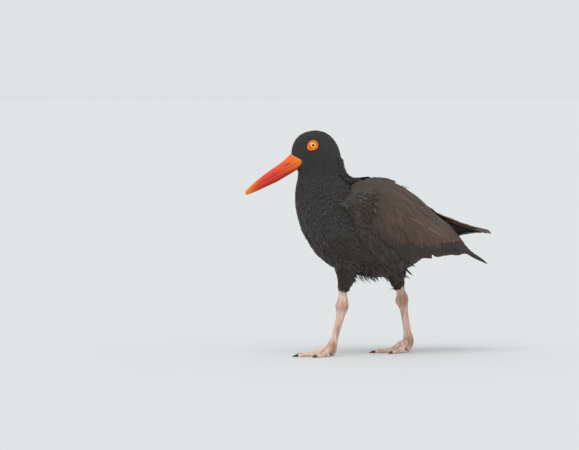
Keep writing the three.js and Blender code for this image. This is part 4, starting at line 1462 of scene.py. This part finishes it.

# %% [markdown]
# The eye is a ball with a wet, clear front over a yellow iris and a small pupil. Its colour follows
# the distance to the eye's axis, which every point of the ball carries as a number. Past the iris's
# rim it is dark brown: painted shade of the lids.

# %% The eyeballs
PUPIL = 1.45  # mm
IRIS = 3.8  # mm
EYE_REACH = 6  # mm from the axis, where the colours end
GAZE = (0.06, 0.02)  # how far the eye looks ahead and up
# the stops past the iris's rim, dark brown, are painted shade of the lids round the iris
IRIS_AND_LID_SHADE_COLOURS = [
    (0.0, "#050403"), (PUPIL / EYE_REACH - 0.01, "#0A0703"), (PUPIL / EYE_REACH + 0.03, "#C88400"),
    (0.36, "#FFC400"), (0.5, "#FFD000"), (IRIS / EYE_REACH - 0.04, "#FFC400"),
    (IRIS / EYE_REACH + 0.04, "#8A3A08"), (0.86, "#3A1A08"),
]


def eye_material():
    """Wet cornea over the iris: almost mirror smooth, with the colours far below the gloss."""
    material, tree, shader = new_material(
        "wet yellow iris", Roughness=0.12, IOR=1.38, Coat_Weight=0.6, Coat_Roughness=0.03
    )
    where = add_node(tree, "TexCoord", "Object")
    cloud = add_node(tree, "TexNoise", Vector=where, Scale=1 / (0.9 * MM), Detail=4.0)
    far = add_node(tree, "Attribute", "Fac", attribute_name="from_axis")
    wobble = add_node(tree, "Math", operation="MULTIPLY_ADD", _0=cloud, _1=0.5, _2=far)
    share = add_node(tree, "MapRange", Value=wobble, From_Min=0.25, From_Max=0.25 + EYE_REACH)
    colour = add_node(tree, "ValToRGB", stops=IRIS_AND_LID_SHADE_COLOURS, Fac=share)
    tree.links.new(colour, shader.inputs["Base Color"])
    return material


def eye_ways(hand):
    """The way out of the head at an eye, and the way ahead."""
    ways = Vector((0, hand, 0)), Vector((-1, 0, 0))
    for way in ways:
        way.rotate(Matrix.Rotation(HEAD_TURN, 3, "Z"))
    return ways


def eyeball(side, material):
    centre = middle_of(f"eye_{side}")
    outward, forward = eye_ways(SIDES[side])
    bm = bmesh.new()
    bmesh.ops.create_uvsphere(bm, u_segments=48, v_segments=32, radius=EYE["radius"] * MM)
    bmesh.ops.rotate(bm, verts=bm.verts, matrix=outward.to_track_quat("Z", "X").to_matrix())
    bmesh.ops.translate(bm, verts=bm.verts, vec=centre)
    ball = finish_mesh(bm, f"eyeball_{side}", material)
    axis = (outward + forward * GAZE[0] + Vector((0, 0, GAZE[1]))).normalized()
    values = []
    for vert in ball.data.vertices:
        arm = vert.co - centre
        ahead = arm.dot(axis)
        values.append((arm - axis * ahead).length / MM if ahead > 0 else EYE["radius"])
    put_numbers(ball, "from_axis", values)
    unwrap(ball)
    settle(ball, "iris", f"eye_{side}")


IRIS_GLASS = eye_material()
print("material made:", IRIS_GLASS.name)

# %% [markdown]
# The bare ring round the eye is a soft fold, drawn out towards the bill. Its rings of points are laid
# on the head by casting a ray to the skin from outside.

# %% The rings round the eyes
RING_LIGHT = (1.2 * MM, 0.4 * MM, 0.15 * MM)
FOLD = {"tall": 5.1, "long": 5.7, "wide": 1.3, "high": 1.35, "front": 1.2, "wider": 0.4, "out": 0.7}  # mm
CREASES = {"deep": 0.05, "count": 9}
FOLD_STEPS = 56
FOLD_SIDES = 14
RAY = {"from": 8, "bare": 5}  # mm


def ring_material():
    """Bare skin of the eye's ring: soft, a little moist, finely pebbled."""
    material, tree, shader = new_material(
        "orange bare ring skin", Roughness=0.42, IOR=1.45, Coat_Weight=0.15, Subsurface_Weight=0.2,
        Subsurface_Radius=RING_LIGHT,
    )
    where = add_node(tree, "TexCoord", "Object")
    pebble = add_node(tree, "TexVoronoi", "Distance", Vector=where, Scale=1 / (0.7 * MM))
    cloud = add_node(tree, "TexNoise", Vector=where, Scale=1 / (3 * MM), Detail=3.0)
    colour = add_node(
        tree, "ValToRGB", stops=[(0.3, "#EE5A02"), (0.55, "#F87804"), (0.8, "#FFA010")], Fac=cloud
    )
    paint(tree, shader, colour, pebble, 0.35, 0.2)
    return material


def fold_ring(centre, ways, around):
    """One ring of points across the fold, at an angle round the eye."""
    outward, forward = ways
    front = max(0.0, -math.cos(around)) ** 3
    crease = 1 + CREASES["deep"] * math.sin(CREASES["count"] * around)
    wide = FOLD["wide"] * (1 + FOLD["wider"] * front) * crease
    high = FOLD["high"] * crease
    ring = []
    for turn in 2 * math.pi * np.arange(FOLD_SIDES) / FOLD_SIDES:
        reach = wide * math.cos(turn)
        flat = (FOLD["long"] + FOLD["front"] * front + reach) * math.cos(around)
        up = (FOLD["tall"] + reach) * math.sin(around)
        x = flat * math.cos(EYE_TILT) - up * math.sin(EYE_TILT)
        z = flat * math.sin(EYE_TILT) + up * math.cos(EYE_TILT)
        guess = centre - forward * x * MM + Vector((0, 0, z * MM)) + outward * RAY["from"] * MM
        hit, _, _, _ = skin_tree.ray_cast(guess, -outward)
        base = hit if hit else guess - outward * RAY["bare"] * MM
        ring.append(base + outward * (FOLD["out"] + high * math.sin(turn)) * MM)
    return ring


RING_SKIN = ring_material()
for side, hand in SIDES.items():
    eyeball(side, IRIS_GLASS)
    bm = bmesh.new()
    turns = 2 * math.pi * np.arange(FOLD_STEPS) / FOLD_STEPS
    loft_into(bm, [fold_ring(middle_of(f"eye_{side}"), eye_ways(hand), turn) for turn in turns], closed=True)
    lid = finish_mesh(bm, f"eye_lid_ring_{side}", RING_SKIN)
    unwrap(lid)
    settle(lid, "eye_ring", f"eye_ring_{side}")
    print(lid.name, "faces:", len(lid.data.polygons))

# %% [markdown]
# The bare leg is skin over bone and tendon: a rounded shank, a swollen ankle, a long flat-sided
# tarsus and a knuckle from which three toes spread. Each limb is a row of middles and radii with
# rings round them, and a ring never goes below the floor.

# %% The limbs' middles and radii
LEG = {  # x, y, z and radius in mm, from the thigh down
    "left": [
        (-38.5, 23, 96, 5.4), (-40.3, 23, 88, 5.7), (-40.7, 22.6, 79, 5.6), (-40.7, 22.2, 71, 7.2),
        (-41, 22, 64.5, 8.3), (-42.2, 21.8, 57.5, 6.9), (-44, 21.6, 50, 5.4), (-47.5, 21, 37, 4.9),
        (-51, 20.5, 24, 5.0), (-54, 20.2, 15.5, 6.4), (-55.5, 20, 10.2, 7.2), (-56, 20, 5.4, 6.6),
        (-57, 20, 3.2, 4.6), (-58, 20, 2.6, 1.2),
    ],
    "right": [
        (55.5, 21, 97, 5.4), (57.8, 21, 89, 5.8), (59.6, 20.6, 80, 6.0), (61, 20.2, 73.5, 7.8),
        (61.6, 20, 68, 8.3), (62.8, 19.8, 61, 6.6), (64, 19.6, 54, 5.2), (66, 19, 41, 4.9),
        (68, 18.4, 28, 5.1), (69, 18.1, 20.5, 6.6), (69.2, 18, 14.6, 7.4), (68, 18, 8.6, 6.6),
        (66.4, 18, 4.6, 5.4), (65, 18, 3, 1.2),
    ],
}
LIMB_SIDES = 28
UP = Vector((0, 0, 1))


def limb_at(rows, share, step):
    """A limb's middle, heading and radius at a share along it."""
    here = curve_at(rows, share)
    ahead, behind = (Vector(curve_at(rows, s)[:3]) for s in (min(1, share + step), max(0, share - step)))
    return Vector(here[:3]), (ahead - behind).normalized(), float(here[3])


def ring_round(centre, first, second, reach_at, flat=1.0, sides=LIMB_SIDES):
    """A ring of points round a limb's middle; reach_at gives its radius at an angle."""
    ring = []
    for k in range(sides):
        angle = 2 * math.pi * k / sides
        reach = reach_at(angle)
        place = centre + first * math.cos(angle) * reach + second * math.sin(angle) * reach * flat
        place.z = max(0.0, place.z)
        ring.append(at(place))
    return ring


print("rows down a leg:", len(LEG["left"]))

# %% [markdown]
# Grooves run down beside the tendons, and the ankle has wrinkles and a heel. The toes start inside the
# knuckle, sink to the floor, and carry cross plates on top.

# %% Rings of the legs and toes
LEG_STEPS = 110
LEG_FLAT = 0.8
TENDONS = [math.radians(turn) for turn in (62, 298, 128, 232)]
TENDON = {"wide": 0.22, "deep": 0.09}
ANKLE = {"row": 4.1, "long": 0.05, "wrinkle": 0.02, "wrinkles": 260, "heel": 0.175}
FOOT = {"left": (-55, 20, 10.5), "right": (69, 18, 14.5)}
TOES = [("inner", 34, 37), ("middle", 0, 47.5), ("outer", -34, 40)]  # degrees outwards, and mm long
TOE_ROWS = [(0, 4.4), (0.22, 4.0), (0.5, 3.6), (0.8, 3.0), (1, 2.5)]  # share along, and radius
TOE = {
    "steps": 60, "rest": 0.64, "down_by": 0.6, "plate": 0.045, "plate_long": 2.3, "joint": 0.036, "joints": 3
}
TOE_END = {"from": 0.93, "least": 0.05, "round": 0.8}


def leg_rings(side):
    rows = [(x, SIDES[side] * y, z, radius) for x, y, z, radius in LEG[side]]
    rings = []
    for share in np.arange(LEG_STEPS + 1) / LEG_STEPS:
        here, heading, radius = limb_at(rows, share, 0.01)
        ankle = math.exp(-(((share - ANKLE["row"] / (len(rows) - 1)) / ANKLE["long"]) ** 2))
        wrinkle = ANKLE["wrinkle"] * ankle * math.sin(share * ANKLE["wrinkles"])

        def reach_at(angle):
            heel = ANKLE["heel"] * ankle * max(0.0, math.cos(angle)) ** 2
            groove = sum(math.exp(-(((angle - tendon) / TENDON["wide"]) ** 2)) for tendon in TENDONS)
            return radius * (1 + heel + wrinkle - TENDON["deep"] * groove * (1 - ankle))

        front = Vector((0, 1, 0)).cross(heading).normalized()
        rings.append(ring_round(here, front, heading.cross(front).normalized(), reach_at, LEG_FLAT))
    return rings


def toe_rows(side, angle, length):
    x, y, z = FOOT[side]
    turn = math.radians(angle * -SIDES[side])
    rows = []
    for share, radius in TOE_ROWS:
        drop = ease(share, 0, TOE["down_by"])
        rest = (TOE_ROWS[0][1] + (TOE_ROWS[-1][1] - TOE_ROWS[0][1]) * share) * TOE["rest"]
        ahead = length * share
        rows.append(
            (
                x - math.cos(turn) * ahead,
                SIDES[side] * y - math.sin(turn) * ahead,
                z + (rest - z) * drop,
                radius,
            )
        )
    return rows


def toe_rings(rows, length):
    rings = []
    for share in np.arange(TOE["steps"] + 1) / TOE["steps"]:
        here, heading, radius = limb_at(rows, share, 0.02)
        plate = TOE["plate"] * abs(math.sin(math.pi * length * share / TOE["plate_long"]))
        joint = TOE["joint"] * math.cos(2 * math.pi * share * TOE["joints"])
        past = max(0.0, (share - TOE_END["from"]) / (1 - TOE_END["from"]))
        thick = radius * math.sqrt(max(TOE_END["least"], 1 - past**2 * TOE_END["round"]))

        def reach_at(angle):
            return thick * (1 + plate * max(0.0, math.cos(angle)) + joint)

        side = heading.cross(UP).normalized()
        rings.append(ring_round(here, side.cross(heading).normalized(), side, reach_at))
    return rings


print("toe rows:", len(toe_rows("left", 0, 47.5)))

# %% [markdown]
# The claws are short, blunt cones that lie almost flat. Leg skin is waxy and pale, with thin dark
# seams between its scales and browner, worn skin at the joints; claws are dark horn.

# %% Claws and the legs' materials
CLAW_ROWS = [(1.9, 1.75), (2.0, 1.6), (1.5, 1.1), (0.8, 0.25)]  # height of the middle, and radius
CLAW_SHAPE = {"steps": 16, "sides": 16, "start": -0.6, "long": 8.6, "flat": 0.85}
SCALE_SIZE = 1.5  # mm; real scales are finer, and are drawn this large so that they show
LEG_LIGHT = (2.5 * MM, 1.0 * MM, 0.6 * MM)


def claw_rings(rows):
    end, before = Vector(rows[-1][:3]), Vector(rows[-2][:3])
    heading = end - before
    heading.z = 0
    heading.normalize()
    side = heading.cross(UP).normalized()
    rings = []
    for share in np.arange(CLAW_SHAPE["steps"] + 1) / CLAW_SHAPE["steps"]:
        centre = end + heading * (CLAW_SHAPE["start"] + CLAW_SHAPE["long"] * share)
        centre.z, radius = (float(value) for value in curve_at(CLAW_ROWS, share))
        rings.append(
            ring_round(centre, UP, side, lambda angle: radius, CLAW_SHAPE["flat"], CLAW_SHAPE["sides"])
        )
    return rings


def leg_material():
    """Scaled skin: waxy, pale, with thin dark seams between the scales and lilac in the shade."""
    material, tree, shader = new_material(
        "pale scaled leg skin", Roughness=0.48, IOR=1.45, Subsurface_Weight=0.18, Coat_Weight=0.08,
        Subsurface_Radius=LEG_LIGHT,
    )
    where = add_node(tree, "TexCoord", "Object")
    net = add_node(
        tree, "TexVoronoi", "Distance", feature="DISTANCE_TO_EDGE", Vector=where, Scale=1 / (SCALE_SIZE * MM)
    )
    drawn_out = add_node(tree, "Mapping", Vector=where, Scale=(1.0, 1.0, 0.16))
    cloud = add_node(tree, "TexNoise", Vector=drawn_out, Scale=1 / (4 * MM), Detail=4.0)
    ground = add_node(
        tree, "ValToRGB", stops=[(0.32, "#C0937F"), (0.48, "#E2BDAA"), (0.68, "#F2D6C6")], Fac=cloud
    )
    knob = add_node(tree, "Attribute", "Fac", attribute_name="knob")
    colour = add_node(tree, "Mix", 2, **MIX, _0=knob, _6=ground, _7=linear("#AE7450"))
    seam = add_node(tree, "MapRange", Value=net, From_Min=0.0, From_Max=0.12, To_Min=0.84, To_Max=1.0)
    colour = add_node(tree, "Mix", 2, **MULTIPLY, _0=1.0, _6=colour, _7=seam)
    height = add_node(tree, "MapRange", Value=net, From_Min=0.0, From_Max=0.25)
    paint(tree, shader, colour, height, 0.5, 0.35)
    return material


def claw_material():
    """Claw keratin: dark brown, smooth, slightly see-through at its point."""
    material, tree, shader = new_material("dark claw keratin", Roughness=0.32, IOR=1.55, Coat_Weight=0.2)
    where = add_node(tree, "TexCoord", "Object")
    streak = add_node(tree, "TexNoise", Vector=where, Scale=1 / (1.6 * MM), Detail=4.0)
    colour = add_node(
        tree, "ValToRGB", stops=[(0.3, "#241916"), (0.6, "#3A2C26"), (0.8, "#5A473C")], Fac=streak
    )
    paint(tree, shader, colour, streak, 0.2, 0.1)
    return material


LEG_SKIN = leg_material()
CLAW = claw_material()
print("materials made:", LEG_SKIN.name, "and", CLAW.name)

# %% [markdown]
# One loft goes down each leg and one along each toe. They overlap at the knuckle, and are remeshed
# into one skin. Its points say how near they are to a worn joint.

# %% The legs
JOINT_ROWS = (4, 10)  # the ankle's and the knuckle's row
WORN = {"reach": 8.5, "most": 0.85}
LEG_CELL = 0.55  # mm
LEG_ROUNDS = 4


def knob_share(point):
    """How near a point is to a worn joint, at the ankles and foot knuckles."""
    joints = [
        (x, hand * y, z) for side, hand in SIDES.items() for x, y, z, _ in (LEG[side][i] for i in JOINT_ROWS)
    ]
    gap = min((point - Vector(joint)).length for joint in joints)
    return WORN["most"] * math.exp(-((gap / WORN["reach"]) ** 4))


for side in SIDES:
    bm = bmesh.new()
    loft_into(bm, leg_rings(side))
    toes = {toe: (toe_rows(side, angle, length), length) for toe, angle, length in TOES}
    for rows, length in toes.values():
        loft_into(bm, toe_rings(rows, length))
    leg = finish_mesh(bm, f"leg_skin_{side}", LEG_SKIN)
    one_net(leg, LEG_CELL, LEG_ROUNDS, LEG_SKIN)
    put_numbers(leg, "knob", [knob_share((v.co - SHIFT) / MM) for v in leg.data.vertices])
    unwrap(leg)
    settle(leg, "leg_skin", f"shank_{side}", f"tarsus_{side}", *(f"toe_{toe}_{side}" for toe in toes))
    print("leg", side, "faces:", len(leg.data.polygons))
    for toe, (rows, _) in toes.items():
        bm = bmesh.new()
        loft_into(bm, claw_rings(rows))
        claw = finish_mesh(bm, f"claw_horn_{toe}_{side}", CLAW)
        unwrap(claw)
        settle(claw, "claw", f"claw_{toe}_{side}")

# %% [markdown]
# The floor is a wide plain sheet. The sky is a bright even grey, as on an overcast day, and a broad
# soft sun from above the camera gives the floor as much light as makes it as bright as the sky, so
# the horizon melts away. Colours are shown as they are, without a film curve.

# %% Floor and light
FLOOR_HALF = 40  # m
SUN = {"energy": 1.3, "angle": math.radians(45), "way": (0.35, 0.45, -1.0)}


def floor_material():
    """Matt painted board: even and pale, with the faintest mottling."""
    material, tree, shader = new_material("matt pale painted board", Roughness=0.9, IOR=1.5)
    where = add_node(tree, "TexCoord", "Object")
    mottle = add_node(tree, "TexNoise", Vector=where, Scale=6.0, Detail=2.0)
    colour = add_node(tree, "ValToRGB", stops=[(0.3, "#D8D8D7"), (0.7, "#D9D9D8")], Fac=mottle)
    tree.links.new(colour, shader.inputs["Base Color"])
    return material


bm = bmesh.new()
bmesh.ops.create_grid(bm, x_segments=2, y_segments=2, size=FLOOR_HALF)
floor = finish_mesh(bm, "studio_floor", floor_material(), smooth=False)

world = bpy.data.worlds.new("overcast studio")
world.use_nodes = True
background = world.node_tree.nodes["Background"]
background.inputs["Color"].default_value = linear("#DEE2E5")
background.inputs["Strength"].default_value = 1.0
bpy.context.scene.world = world

sun = bpy.data.lights.new("soft sun", "SUN")
sun.energy = SUN["energy"]
sun.angle = SUN["angle"]
sun_holder = bpy.data.objects.new("soft sun", sun)
sun_holder.rotation_euler = Vector(SUN["way"]).to_track_quat("-Z", "Y").to_euler()
bpy.context.scene.collection.objects.link(sun_holder)
bpy.context.scene.view_settings.view_transform = "Standard"
print("light:", sun.name, sun.energy)

# %% [markdown]
# The camera stands where the photographer's did: a long lens from far off, almost level with the
# bird, turned a little towards its front. The frame's width on the bird comes from the photo's
# scale, 1.3 mm to the pixel.

# %% The camera
AZIMUTH = math.radians(-22)
ELEVATION = math.radians(2)
MM_PER_PIXEL = 1.3
PHOTO = {"width": 579, "centre_x": 289.5, "centre_y": 225.0, "zero_x": 365.0, "floor_y": 354.5}  # pixels
DISTANCE = 6.0  # m
SENSOR = 36.0  # mm

right = Vector((math.cos(AZIMUTH), math.sin(AZIMUTH), 0))
level = math.cos(ELEVATION)
away = Vector((math.sin(AZIMUTH) * level, -math.cos(AZIMUTH) * level, math.sin(ELEVATION)))
aim = at((0, 0, 0)) + right * (PHOTO["centre_x"] - PHOTO["zero_x"]) * MM_PER_PIXEL * MM
aim.z = (PHOTO["floor_y"] - PHOTO["centre_y"]) * MM_PER_PIXEL * MM
lens = bpy.data.cameras.new("long lens")
lens.sensor_width = SENSOR
lens.lens = SENSOR * DISTANCE / (PHOTO["width"] * MM_PER_PIXEL * MM)
camera = bpy.data.objects.new("camera", lens)
camera.location = aim + away * DISTANCE
camera.rotation_euler = (-away).to_track_quat("-Z", "Y").to_euler()
bpy.context.scene.collection.objects.link(camera)
bpy.context.scene.camera = camera
print("lens:", round(lens.lens, 1), "mm")
